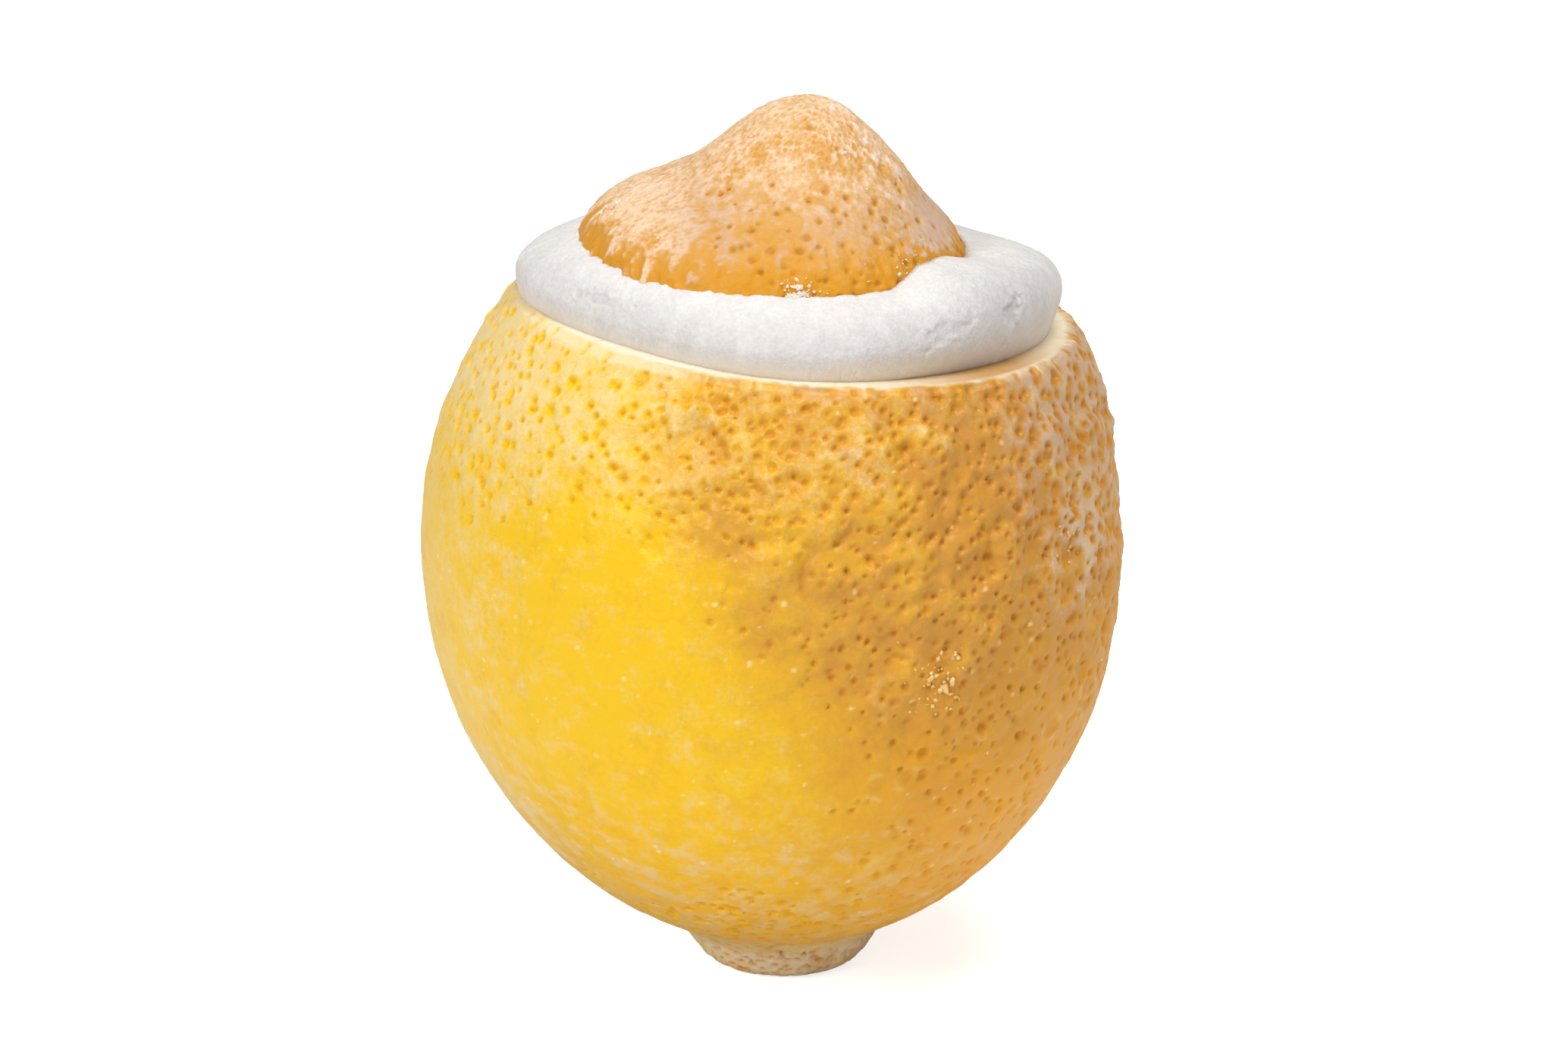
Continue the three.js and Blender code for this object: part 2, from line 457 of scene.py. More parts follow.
@dataclass(frozen=True)
class Fruit:
    """The lemon's shape: two half domes that meet at the equator, a stem stub, and a slanting cut."""

    radius: float = 35.0
    equator: float = 44.4
    lower_reach: float = 41.05
    upper_reach: float = 38.6
    lower_power: float = 2.03
    upper_power: float = 2.16
    bow: float = 1.1
    bow_height: float = 80.5
    swell: float = 0.15
    swell_fade: float = 12.0
    swell_waves: tuple[Wave, ...] = (
        Wave(2, 0.8, 1.0, 17.0),
        Wave(3, 2.1, 0.7, -12.0),
        Wave(5, 4.2, 0.5, 8.0),
    )
    stub_radius: float = 9.8
    stub_height: float = 3.3
    foot_radius: float = 7.7
    foot_round: float = 1.5
    crease_sharpness: float = 5.0
    cut_height: float = 68.85
    cut_rise_x: float = -0.088
    cut_rise_y: float = -0.028
    wall: float = 4.2
    cut_steps: int = 16

    def middle_x(self, height: Array) -> Array:
        """Sideways place of the middle line, which bows to the left by a half sine."""
        return -self.bow * np.sin(np.pi * height / self.bow_height)

    def plain_radius(self, height: Array, inset: float) -> Array:
        """Radius of the fruit without its stub, lying inside the skin by an inset.

        The radius is the widest one times the root of 1 less the share of the reach to the half's power.

        Args:
            height: Heights over the foot.
            inset: Distance inside the skin.

        Returns:
            Radii at those heights.
        """
        rise = height - self.equator
        reach = np.where(rise < 0.0, self.lower_reach, self.upper_reach) - inset
        power = np.where(rise < 0.0, self.lower_power, self.upper_power)
        share = np.minimum(1.0, np.abs(rise) / reach)
        return (self.radius - inset) * np.sqrt(1.0 - share**power)

    def stub_at(self, height: Array) -> Array:
        """Radius of the stub: a taper from its top to the foot, with a quarter round at the foot's edge.

        Args:
            height: Heights over the foot.

        Returns:
            Radii at those heights.
        """
        share = np.minimum(1.0, height / self.stub_height)
        taper = self.foot_radius + (self.stub_radius - self.foot_radius) * share
        short = np.maximum(0.0, 1.0 - height / self.foot_round)
        return taper - self.foot_round * (1.0 - np.sqrt(1.0 - short**2))

    def skin_radius(self, height: Array, angle: Array) -> Array:
        """Radius of the skin: fruit and stub joined by a high power mean, plus waves that fade at the stub.

        Args:
            height: Heights over the foot.
            angle: Angles round the axis.

        Returns:
            Radii there.
        """
        power = self.crease_sharpness
        joined = (self.plain_radius(height, 0.0) ** power + self.stub_at(height) ** power) ** (1.0 / power)
        fade = smooth_share(height, self.stub_height, self.stub_height + self.swell_fade)
        return joined + self.swell * fade * sum(wave.at(angle, height) for wave in self.swell_waves)

    def place(self, height: Array, angle: Array, radius: Array) -> Array:
        """Points in mm at a radius round the middle line, for heights over the foot and angles round it."""
        x = self.middle_x(height) + radius * np.cos(angle)
        return np.stack(np.broadcast_arrays(x, radius * np.sin(angle), height), -1)

    def cut_at(self, x: Array, y: Array) -> Array:
        """Height of the slanting cut over a place in plan."""
        return self.cut_height + self.cut_rise_x * x + self.cut_rise_y * y

    def floor_middle(self, inset: float) -> Array:
        """Lowest point of a hollow that lies inside the skin by an inset, on the middle line."""
        height = self.equator - self.lower_reach + inset
        return np.array([float(self.middle_x(np.array(height))), 0.0, height])

    def hollow_rings(self, angle: Array, inset: float, rows: int) -> Array:
        """Rings down a hollow that lies inside the skin, from below the cut to above the floor's middle.

        A ring's share of the way up is 1 less the sine of an even share of a quarter turn.

        Args:
            angle: Angles of the columns.
            inset: Distance inside the skin.
            rows: How many rings to give.

        Returns:
            Places, rows by columns.
        """
        floor = self.floor_middle(inset)[2]
        top = self.height_at_cut(angle, inset)
        share = 1.0 - np.sin((np.arange(rows) + 1.0) / (rows + 1.0) * np.pi / 2.0)
        height = floor + share[:, None] * (top - floor)[None, :]
        return self.place(height, angle[None, :], self.plain_radius(height, inset))

    def height_at_cut(self, angle: Array, inset: float | None) -> Array:
        """Height at which a wall meets the cut, by repeated steps from the cut's middle height.

        Args:
            angle: Angles round the axis.
            inset: Distance inside the plain fruit, or None for the skin itself.

        Returns:
            Heights there.
        """
        height = np.full(np.shape(angle), self.cut_height)
        for _ in range(self.cut_steps):
            radius = self.skin_radius(height, angle) if inset is None else self.plain_radius(height, inset)
            spot = self.place(height, angle, radius)
            height = self.cut_at(spot[..., 0], spot[..., 1])
        return height


class Side(Enum):
    """The four quarters of the peel, each named for the way that it faces."""

    RIGHT = 0
    BACK = 1
    LEFT = 2
    FRONT = 3


class Tree:
    """Hand on a node tree: adds nodes, feeds sockets, and makes the few mixes that the finishes share."""

    def __init__(self, tree: NodeTree) -> None:
        """Takes a tree and empties it."""
        self.tree = tree
        tree.nodes.clear()

    def add(self, kind: str, inputs: Inputs | None = None, **settings: object) -> bpy.types.Node:
        """Adds a node, sets its options, and then feeds its inputs.

        Args:
            kind: Blender's name for the node.
            inputs: What to feed, by the name or the place of the input.
            settings: Options to set on it.

        Returns:
            The node.
        """
        node = self.tree.nodes.new(kind)
        for name, value in settings.items():
            setattr(node, name, value)
        for key, value in (inputs or {}).items():
            self.feed(node.inputs[key], value)
        return node

    def feed(self, into: Socket, value: object) -> None:
        """Links a socket to another one, or sets it to a plain value.

        Args:
            into: Socket to feed.
            value: Socket to read, or a number, vector or colour.
        """
        if isinstance(value, Socket):
            self.tree.links.new(value, into)
        else:
            into.default_value = value

    def mark(self, name: str) -> Socket:
        """Value of a point mark of the mesh."""
        return self.add("ShaderNodeAttribute", attribute_name=name).outputs["Fac"]

    def here(self, scale: Triple | None = None) -> Socket:
        """Object coordinates, stretched if a scale is given.

        Args:
            scale: Factor for each axis.

        Returns:
            Socket of the coordinates.
        """
        coordinates = self.add("ShaderNodeTexCoord").outputs["Object"]
        if scale is None:
            return coordinates
        return self.add("ShaderNodeMapping", {"Scale": scale, "Vector": coordinates}).outputs["Vector"]

    def noise(self, vector: object, scale: object, detail: float = 3.0, rough: float = 0.55) -> Socket:
        """Noise from 0 to 1, by its cells to a metre, its layers of finer noise and their strength."""
        inputs = {"Vector": vector, "Scale": scale, "Detail": detail, "Roughness": rough}
        return self.add("ShaderNodeTexNoise", inputs).outputs["Fac"]

    def span(self, value: object, low: float, high: float, start: float = 0.0, end: float = 1.0) -> Socket:
        """Straight map of values from low to high onto values from start to end, held at its ends."""
        inputs = {"Value": value, "From Min": low, "From Max": high, "To Min": start, "To Max": end}
        return self.add("ShaderNodeMapRange", inputs, clamp=True).outputs["Result"]

    def sum(self, first: object, second: object, kind: str = "ADD") -> Socket:
        """Sum of two values, or another of Blender's two-number operations."""
        return self.add("ShaderNodeMath", {0: first, 1: second}, operation=kind).outputs[0]

    def blend(self, share: object, first: object, second: object) -> Socket:
        """Mix of two colours, by the share of the second."""
        inputs = {MIX_SHARE: share, MIX_FIRST: first, MIX_SECOND: second}
        return self.add("ShaderNodeMix", inputs, data_type="RGBA").outputs[MIX_RESULT]

    def holes(self, core: float, edge: float) -> Socket:
        """Mask of the holes, from the marks near and pore: full inside the core, none past the edge."""
        inside = self.span(self.mark("near"), core, edge, 1.0, 0.0)
        return self.sum(inside, self.mark("pore"), "MULTIPLY")

    def place_group(self, group: NodeTree, **values: object) -> bpy.types.Node:
        """Adds a node group with its inputs fed by name."""
        return self.add("ShaderNodeGroup", values, node_tree=group)


def new_group(name: str, inputs: dict[str, str], outputs: dict[str, str]) -> tuple[NodeTree, Tree]:
    """Empty shader group with named sockets.

    Args:
        name: Name of the group.
        inputs: Kind of each input by name.
        outputs: Kind of each output by name.

    Returns:
        The group, and a hand on its tree.
    """
    group = bpy.data.node_groups.new(name, "ShaderNodeTree")
    for socket, kind in inputs.items():
        group.interface.new_socket(socket, in_out="INPUT", socket_type=kind)
    for socket, kind in outputs.items():
        group.interface.new_socket(socket, in_out="OUTPUT", socket_type=kind)
    return group, Tree(group)


def frost_group() -> NodeTree:
    """Frost that lies in grains: its amount, broken up by fine noise, mixes its colour over the peel's.

    Thin frost is also less opaque.

    Returns:
        The group, with outputs Color and Mask.
    """
    number, colour = "NodeSocketFloat", "NodeSocketColor"
    group, tree = new_group(
        "frost_haze",
        {"Color": colour, "Frost": colour, "Amount": number, "Scale": number},
        {"Color": colour, "Mask": number},
    )
    given = tree.add("NodeGroupInput")
    grain = tree.noise(tree.here(), given.outputs["Scale"], 5.0, 0.7)
    uneven = tree.span(grain, 0.25, 0.75, -0.4, 0.4)
    grains = tree.span(tree.sum(given.outputs["Amount"], uneven), 0.15, 0.85)
    cover = tree.span(given.outputs["Amount"], 0.0, 0.55, 0.3, 1.0)
    mask = tree.sum(grains, cover, "MULTIPLY")
    hazed = tree.blend(mask, given.outputs["Color"], given.outputs["Frost"])
    tree.add("NodeGroupOutput", {"Color": hazed, "Mask": mask})
    return group


def grain_group() -> NodeTree:
    """Fine relief for a bump: coarse and fine noise added, the fine one at about a third of the strength.

    Returns:
        The group, with the output Height.
    """
    number = "NodeSocketFloat"
    group, tree = new_group("fine_grain", {"Coarse": number, "Fine": number}, {"Height": number})
    given = tree.add("NodeGroupInput")
    here = tree.here()
    coarse = tree.noise(here, given.outputs["Coarse"], 4.0, 0.6)
    fine = tree.noise(here, given.outputs["Fine"], 2.0, 0.5)
    tree.add("NodeGroupOutput", {"Height": tree.sum(coarse, tree.span(fine, 0.0, 1.0, 0.0, 0.35))})
    return group


@dataclass(frozen=True)
class Gloss:
    """Constants of a finish: least and most roughness, grain, shine, haze, light carried inside, and bump.

    Coarse and fine are the grain's noise cells to a metre. Depths are in metres.
    """

    rough: tuple[float, float]
    coarse: float
    fine: float
    specular: float = 0.3
    sheen: float = 0.0
    sheen_rough: float = 0.4
    sheen_tint: Colour = WHITE
    inner: float = 0.0
    inner_depth: float = 0.002
    inner_reach: Triple = (1.0, 0.8, 0.6)
    bump: float = 0.3
    bump_depth: float = 0.0002

    def relief(self, tree: Tree, grain: NodeTree) -> Socket:
        """Height of the fine grain, from its group."""
        return tree.place_group(grain, Coarse=self.coarse, Fine=self.fine).outputs["Height"]

    def shader(self, tree: Tree, colour: object, rough: object, height: object) -> None:
        """Adds the surface shader and the output.

        Args:
            tree: Hand on the material's tree.
            colour: Socket of the base colour.
            rough: Socket of the roughness.
            height: Socket of the bump's height.
        """
        bump_inputs = {"Strength": self.bump, "Distance": self.bump_depth, "Height": height}
        inputs = {
            "Base Color": colour,
            "Roughness": rough,
            "Normal": tree.add("ShaderNodeBump", bump_inputs).outputs["Normal"],
            "Specular IOR Level": self.specular,
            "Sheen Weight": self.sheen,
            "Sheen Roughness": self.sheen_rough,
            "Sheen Tint": self.sheen_tint,
            "Subsurface Weight": self.inner,
            "Subsurface Scale": self.inner_depth,
            "Subsurface Radius": self.inner_reach,
        }
        surface = tree.add("ShaderNodeBsdfPrincipled", inputs)
        tree.add("ShaderNodeOutputMaterial", {"Surface": surface.outputs["BSDF"]})


def new_material(name: str) -> tuple[Material, Tree]:
    """Empty node material.

    Args:
        name: Name of the material.

    Returns:
        The material, and a hand on its tree.
    """
    material = bpy.data.materials.new(name)
    material.use_nodes = True
    return material, Tree(material.node_tree)


@dataclass(frozen=True)
class PeelFinish:
    """Lemon peel: yellow to amber, deeper in the pores, pale where frost lies, cream on the cut.

    Scales are noise cells to a metre. Some marks paint light and shade, as their comments say.
    """

    lemon: Colour = srgb(250, 200, 6)
    # Amber is partly painted shade: the right, away from the key lamp, is darker for it.
    amber: Colour = srgb(213, 150, 54)
    # Deep golden colour, partly painted bounce light that brightens the lower right on the shade side.
    gold_and_bounce: Colour = srgb(244, 172, 12)
    pore_left: Colour = srgb(238, 178, 40)
    pore_right: Colour = srgb(206, 124, 6)
    frost_left: Colour = srgb(240, 214, 150)
    frost_right: Colour = srgb(212, 184, 154)
    dust: Colour = srgb(236, 198, 128)
    # Pale specks; those added on the right, and the lips round the pits, are painted highlights.
    speck_and_glint: Colour = srgb(255, 232, 170)
    # Real spots on the stub, and painted shade washed over the upper right.
    brown_and_shade: Colour = srgb(176, 118, 58)
    wood: Colour = srgb(255, 236, 204)
    pith: Colour = srgb(248, 239, 216)
    pith_warm: Colour = srgb(243, 228, 192)
    # Juice colour, and painted shadow under the sorbet's overhang at the front right.
    juice_stain_and_shadow: Colour = srgb(203, 156, 92)
    mottle_scale: float = 240.0
    fleck_scale: float = 1500.0
    streak_scale: Triple = (90.0, 90.0, 1100.0)
    frost_scale: float = 1900.0
    hole_core: float = 0.1
    hole_edge: float = 0.42
    gloss: Gloss = Gloss(
        rough=(0.38, 0.62),
        coarse=1100.0,
        fine=4200.0,
        sheen=0.06,
        sheen_tint=srgb(255, 236, 205),
        inner=0.18,
        inner_depth=0.001,
        inner_reach=(1.0, 0.55, 0.15),
        bump=0.5,
    )

    def make(self, frost: NodeTree, grain: NodeTree) -> Material:
        """Makes the material from the peel's point marks and noise.

        Args:
            frost: Group that lays frost.
            grain: Group that gives fine relief.

        Returns:
            The material.
        """
        material, tree = new_material("peel")
        here = tree.here()
        mottle = tree.noise(here, self.mottle_scale, 4.0, 0.6)
        flecks = tree.noise(here, self.fleck_scale, 3.0, 0.65)
        uneven = tree.sum(tree.span(mottle, 0.3, 0.7, -0.2, 0.2), tree.span(flecks, 0.3, 0.7, -0.12, 0.12))
        # This mark is partly painted shade: it falls towards the right, away from the light.
        ripe_and_lit_side = tree.sum(tree.mark("ripe_and_lit_side"), uneven)
        plain = tree.blend(ripe_and_lit_side, self.amber, self.lemon)
        skin = tree.blend(tree.mark("gold_and_bounce"), plain, self.gold_and_bounce)
        clean = tree.blend(tree.span(ripe_and_lit_side, 0.0, 0.35), self.frost_right, self.frost_left)
        pale = tree.blend(tree.mark("low"), clean, self.dust)
        streaks = tree.noise(tree.here(self.streak_scale), 1.0, 3.0, 0.6)
        amount = tree.sum(tree.mark("frost"), tree.span(streaks, 0.3, 0.75, -0.06, 0.1))
        hazed = tree.place_group(frost, Color=skin, Frost=pale, Amount=amount, Scale=self.frost_scale)
        deep = tree.blend(ripe_and_lit_side, self.pore_right, self.pore_left)
        hole = tree.holes(self.hole_core, self.hole_edge)
        spotted = tree.blend(hole, hazed.outputs["Color"], deep)
        for name, tint in (("speck_and_glint", self.speck_and_glint), ("wood", self.wood), ("brown_and_shade", self.brown_and_shade)):
            spotted = tree.blend(tree.mark(name), spotted, tint)
        flesh = tree.blend(tree.span(mottle, 0.35, 0.7), self.pith, self.pith_warm)
        stained_and_shadowed = tree.blend(tree.mark("juice_stain_and_shadow"), flesh, self.juice_stain_and_shadow)
        colour = tree.blend(tree.mark("pith"), spotted, stained_and_shadowed)
        rough = tree.span(hazed.outputs["Mask"], 0.0, 1.0, *self.gloss.rough)
        relief = self.gloss.relief(tree, grain)
        height = tree.sum(relief, tree.span(hole, 0.0, 1.0, 0.0, -1.0))
        self.gloss.shader(tree, colour, rough, height)
        return material


@dataclass(frozen=True)
class CapFinish:
    """Peel of the cap: peach under frost, amber at its furrowed lower edge; scales as on the peel."""

    peach: Colour = srgb(218, 168, 100)
    orange: Colour = srgb(213, 152, 58)
    amber: Colour = srgb(218, 150, 34)
    pore: Colour = srgb(186, 120, 22)
    frost: Colour = srgb(241, 207, 170)
    # Painted shade: the frost low on the cap's flanks, all but the left, is greyer.
    shaded_frost: Colour = srgb(213, 178, 150)
    rime: Colour = srgb(240, 226, 212)
    mottle_scale: float = 420.0
    frost_scale: float = 2500.0
    hole_core: float = 0.12
    hole_edge: float = 0.4
    gloss: Gloss = Gloss(
        rough=(0.45, 0.7),
        coarse=1300.0,
        fine=4500.0,
        specular=0.25,
        sheen=0.08,
        sheen_tint=srgb(255, 232, 210),
        bump=0.5,
    )

    def make(self, frost: NodeTree, grain: NodeTree) -> Material:
        """Makes the material from the cap's point marks and noise.

        Args:
            frost: Group that lays frost.
            grain: Group that gives fine relief.

        Returns:
            The material.
        """
        material, tree = new_material("frosted_peel")
        mottle = tree.noise(tree.here(), self.mottle_scale, 4.0, 0.6)
        skin = tree.blend(tree.span(mottle, 0.3, 0.7), self.peach, self.orange)
        banded = tree.blend(tree.mark("band"), skin, self.amber)
        pale = tree.blend(tree.mark("dull_and_shaded"), self.frost, self.shaded_frost)
        amount = tree.mark("frost")
        hazed = tree.place_group(frost, Color=banded, Frost=pale, Amount=amount, Scale=self.frost_scale)
        hole = tree.holes(self.hole_core, self.hole_edge)
        pored = tree.blend(hole, hazed.outputs["Color"], self.pore)
        colour = tree.blend(tree.mark("rime"), pored, self.rime)
        rough = tree.span(hazed.outputs["Mask"], 0.0, 1.0, *self.gloss.rough)
        self.gloss.shader(tree, colour, rough, self.gloss.relief(tree, grain))
        return material


@dataclass(frozen=True)
class SorbetFinish:
    """Sorbet: soft white, greyer where shade is painted on it, and tinted by juice where it meets the peel.
    """

    white: Colour = srgb(237, 234, 230)
    # Painted shade: the grey laid on the spoon hollows, the rough patch at the front right and the lower
    # front.
    shade: Colour = srgb(205, 200, 197)
    juice: Colour = srgb(233, 214, 190)
    mottle_scale: float = 420.0
    mottle_stretch: Triple = (1.0, 1.0, 0.35)
    fleck_scale: float = 2200.0
    gloss: Gloss = Gloss((0.5, 0.66), 1200.0, 4000.0, specular=0.2, inner=0.25, inner_depth=0.001, bump=1.0)

    def make(self, grain: NodeTree) -> Material:
        """Makes the material from the sorbet's point marks and noise.

        Args:
            grain: Group that gives fine relief.

        Returns:
            The material.
        """
        material, tree = new_material("sorbet")
        mottle = tree.noise(tree.here(self.mottle_stretch), self.mottle_scale, 4.0, 0.6)
        flecks = tree.noise(tree.here(), self.fleck_scale, 3.0, 0.6)
        uneven = tree.sum(tree.span(mottle, 0.35, 0.75, 0.0, 0.4), tree.span(flecks, 0.3, 0.7, -0.15, 0.25))
        # The mark hollow is painted shade, made uneven by the noise.
        hollow = tree.sum(tree.mark("hollow"), uneven)
        frozen = tree.blend(hollow, self.white, self.shade)
        colour = tree.blend(tree.mark("juice"), frozen, self.juice)
        rough = tree.span(mottle, 0.3, 0.7, *self.gloss.rough)
        self.gloss.shader(tree, colour, rough, self.gloss.relief(tree, grain))
        return material


@dataclass(frozen=True)
class IceFinish:
    """Ice grains: bright and glossy, nearly colourless or tinted by the peel."""

    name: str
    pale: Colour = srgb(248, 238, 226)
    warm: Colour = srgb(244, 214, 170)
    tint_scale: float = 900.0
    gloss: Gloss = Gloss((0.12, 0.3), 2500.0, 6000.0, specular=0.5, inner=0.2, inner_depth=0.0004, bump=0.1)

    def make(self, grain: NodeTree) -> Material:
        """Makes the material.

        Args:
            grain: Group that gives fine relief.

        Returns:
            The material.
        """
        material, tree = new_material(self.name)
        tint = tree.noise(tree.here(), self.tint_scale, 2.0, 0.5)
        colour = tree.blend(tree.span(tint, 0.35, 0.65), self.pale, self.warm)
        rough = tree.span(tint, 0.3, 0.7, *self.gloss.rough)
        self.gloss.shader(tree, colour, rough, self.gloss.relief(tree, grain))
        return material


@dataclass
class PeelSkin:
    """Dress of the peel's skin: the zones, holes, relief and marks of its points.

    A zone is a share from 0 to 1 for each point. Fades, depths and rises are in mm. The right begins at a
    border that slants up to the left.
    """

    fruit: Fruit
    points: Array
    chart: Chart
    patch_middle: Triple = (-20.0, -27.0, 36.0)
    patch_fade: Fade = Fade(32.0, 13.0)
    low_fade: Fade = Fade(33.0, 14.0)
    lower_fade: Fade = Fade(48.0, 24.0)
    upper_fade: Fade = Fade(48.0, 60.0)
    rim_fade: Fade = Fade(53.0, 67.0)
    right_fade: Fade = Fade(-14.0, 5.0)
    border_slope: float = 0.65
    border_height: float = 48.0
    border_span: tuple[float, float] = (-30.0, 16.0)
    back_fade: Fade = Fade(-2.0, 14.0)
    stub_fade: Fade = Fade(4.4, 3.2)
    crease_height: float = 4.8
    crease_width: float = 1.3
    left_edge_fade: Fade = Fade(-19.0, -32.0)
    right_edge_fade: Fade = Fade(20.0, 31.0)
    haze_fade: Fade = Fade(42.0, 54.0)
    haze_side_fade: Fade = Fade(18.0, 28.0)
    clump_mound: Mound = Mound(CLUMP_MIDDLE, 5.0)
    shoulder_mound: Mound = Mound((28.0, 0.0, 62.0), 9.0)
    shoulder_rise: float = 0.7
    bowl_depth: float = 0.36
    bowl_less_right: float = 0.16
    hole_depth: float = 0.22
    pit_depth: float = 0.4
    dent_depth: float = 0.45
    groove_depth: float = 0.12
    valley_depth: float = 0.25
    roughness: float = 0.03
    pores: PitField = PitField(1.55, 0.5, 0.4, 101, 0.95)
    left_pores: PitField = PitField(1.75, 0.36, 0.4, 151, 0.95, 0.12, 0.7)
    stub_pores: PitField = PitField(1.05, 0.4, 0.4, 171, 0.95)
    pits: PitField = PitField(3.4, 1.0, 0.4, 201, 1.0, 0.4, 1.0)
    dents: PitField = PitField(6.5, 2.4, 0.3, 301, 0.9, 0.8, 2.5)
    specks: PitField = PitField(2.0, 0.26, 0.5, 401, 1.0)

    def __post_init__(self) -> None:
        """Finds the zones, the holes, the specks and the slow form, each from those before."""
        self.find_zones()
        self.find_holes()
        self.find_specks()
        self.find_form()

    def find_zones(self) -> None:
        """Finds the zones, from places and heights that noise makes uneven.

        A valley runs along the border of the right. The leathery zone is the right and part of the back, and
        haze lies along the upper right edge.
        """
        x, y, height = self.points.T
        self.slow: Array = layered_noise(self.points, 11.0, 21)
        self.mid: Array = layered_noise(self.points, 4.0, 22)
        self.small: Array = layered_noise(self.points, 1.5, 28, 2)
        away = np.linalg.norm(self.points - np.array(self.patch_middle), axis=-1) + 6.0 * self.slow
        self.smooth: Array = self.patch_fade.at(away)
        self.low: Array = self.low_fade.at(height + 3.0 * self.mid)
        self.lower: Array = self.lower_fade.at(height + 2.0 * self.mid)
        self.upper: Array = self.upper_fade.at(height + 3.0 * self.slow)
        self.rimward: Array = self.rim_fade.at(height + 3.0 * self.slow)
        aslant = x + self.border_slope * np.clip(height - self.border_height, *self.border_span)
        self.right: Array = self.right_fade.at(aslant + 3.0 * self.slow)
        valley = bell(aslant, -1.0, 3.5) * smooth_share(np.abs(height - 52.0), 13.0, 6.0)
        self.valley: Array = valley * smooth_share(y, -8.0, -20.0)
        self.back: Array = self.back_fade.at(y)
        self.stub: Array = self.stub_fade.at(height)
        self.crease: Array = bell(height - 0.4 * self.small, self.crease_height, self.crease_width)
        self.left_edge: Array = self.left_edge_fade.at(x)
        right_edge = self.right_edge_fade.at(x)
        edge_haze = right_edge * self.haze_fade.at(height + 2.0 * self.mid)
        self.hazy: Array = np.maximum(edge_haze, self.upper * self.haze_side_fade.at(x))
        self.below: Array = self.fruit.cut_at(x, y) - height + 0.5 * self.small + 0.3 * self.mid
        leathery = self.right * (1.0 - 0.85 * self.lower) * (1.0 - 0.4 * right_edge)
        leathery = np.maximum(leathery, 0.6 * self.back * (1.0 - self.low)) * (1.0 - self.stub)
        self.leathery: Array = leathery * smooth_share(self.below, 0.0, 4.0)
        self.clump: Array = self.clump_mound.at(self.points) * smooth_share(self.mid, -0.35, 0.3)

    def find_holes(self) -> None:
        """Finds the nearest pore and pit of every point, and the masks of their parts.

        Pores are few in the smooth patch at the front's lower left, and dense in the upper band, on the right
        and on the stub, where they stand closest. The left has its own, smaller and wider apart. Pits lie on
        the right. A pore is a small hole in a wide shallow bowl, and ridges stand between the pores.
        """
        x, _, height = self.points.T
        presence = 0.05 + 0.9 * np.maximum(self.upper, self.right * (1.0 - 0.5 * self.lower))
        presence = presence + 0.4 * self.slow - 0.45 * self.smooth
        above_stub = smooth_share(height, 21.0, 11.0)
        presence += self.back * (0.3 + 0.4 * self.slow) + 0.6 * above_stub + 0.2 * self.hazy
        at_right = smooth_share(x + 4.0 * self.slow, -14.0, -2.0)
        at_left = smooth_share(x, 4.0, -8.0)
        near, own = self.pores.scan(self.points, self.chart, presence * at_right * (1.0 - self.stub))
        for pores, wanted in ((self.left_pores, presence * at_left), (self.stub_pores, self.stub)):
            other_near, other_own = pores.scan(self.points, self.chart, wanted)
            nearer = other_near < near
            near = np.where(nearer, other_near, near)
            own = np.where(nearer, other_own, own)
        wanted = 0.03 + (0.42 + 0.2 * self.hazy) * self.right * (1.0 - self.low) - self.smooth
        wide_near, wide_own = self.pits.scan(self.points, self.chart, wanted)
        self.near: Array = near
        self.wide_near: Array = wide_near
        self.bowl: Array = smooth_share(near, 1.7, 0.0) * (0.5 + 0.5 * own)
        self.hole: Array = smooth_share(near, 0.95, 0.15) * (0.4 + 0.6 * own)
        self.pit: Array = smooth_share(wide_near, 1.1, 0.1) * (0.3 + 0.7 * wide_own)
        self.ridge: Array = smooth_share(near, 0.2, 2.0) * (1.0 - 0.7 * self.pit)
        self.hollow: Array = np.maximum(self.hole, 0.75 * self.pit)
        self.strength: Array = np.where(near < wide_near, 0.45 + 0.55 * own, 0.25 + 0.45 * wide_own)

    def find_specks(self) -> None:
        """Finds pale specks, some painted glints, and painted highlights round the lower right's holes."""
        wanted = 0.05 + 0.3 * self.smooth + 0.1 * self.low + 0.1 * self.right
        near, own = self.specks.scan(self.points, self.chart, wanted)
        speck_and_glint = smooth_share(near, 1.0, 0.4) * (0.2 + 0.6 * own)
        # Painted highlight: a pale lip round each hole of the lower right.
        lip = bell(np.minimum(self.wide_near, 2.0 * self.near), 1.2, 0.2) * self.lower * self.right
        self.speck_and_glint: Array = np.maximum(speck_and_glint, 0.45 * lip * smooth_share(self.small, 0.0, 0.4))

    def find_form(self) -> None:
        """Finds the slow part of the relief: lumps, and domes that meet in creases, less dents."""
        wanted = 0.75 * self.right * smooth_share(self.points[:, 2], 24.0, 38.0) + 0.25 * self.back
        dent = smooth_share(self.dents.scan(self.points, self.chart, wanted)[0], 1.0, 0.1)
        dome = np.hypot(soft_noise(self.points, 4.4, 34) + 0.3 * self.mid + 0.2 * self.small, 0.15)
        creased = smooth_share(self.slow + 0.6 * self.mid, 0.25, -0.3)
        groove = smooth_share(dome, 0.36, 0.15) * creased * self.leathery
        lumps = (0.1 + 0.1 * self.upper + 0.56 * self.leathery) * self.mid
        lumps += (0.06 + 0.06 * self.upper + 0.08 * self.leathery) * self.small
        lumps += 0.8 * self.leathery * (dome - 0.3)
        sunk = lumps * (1.0 - self.stub) - self.dent_depth * dent - self.groove_depth * groove
        self.form: Array = sunk - self.valley_depth * self.valley

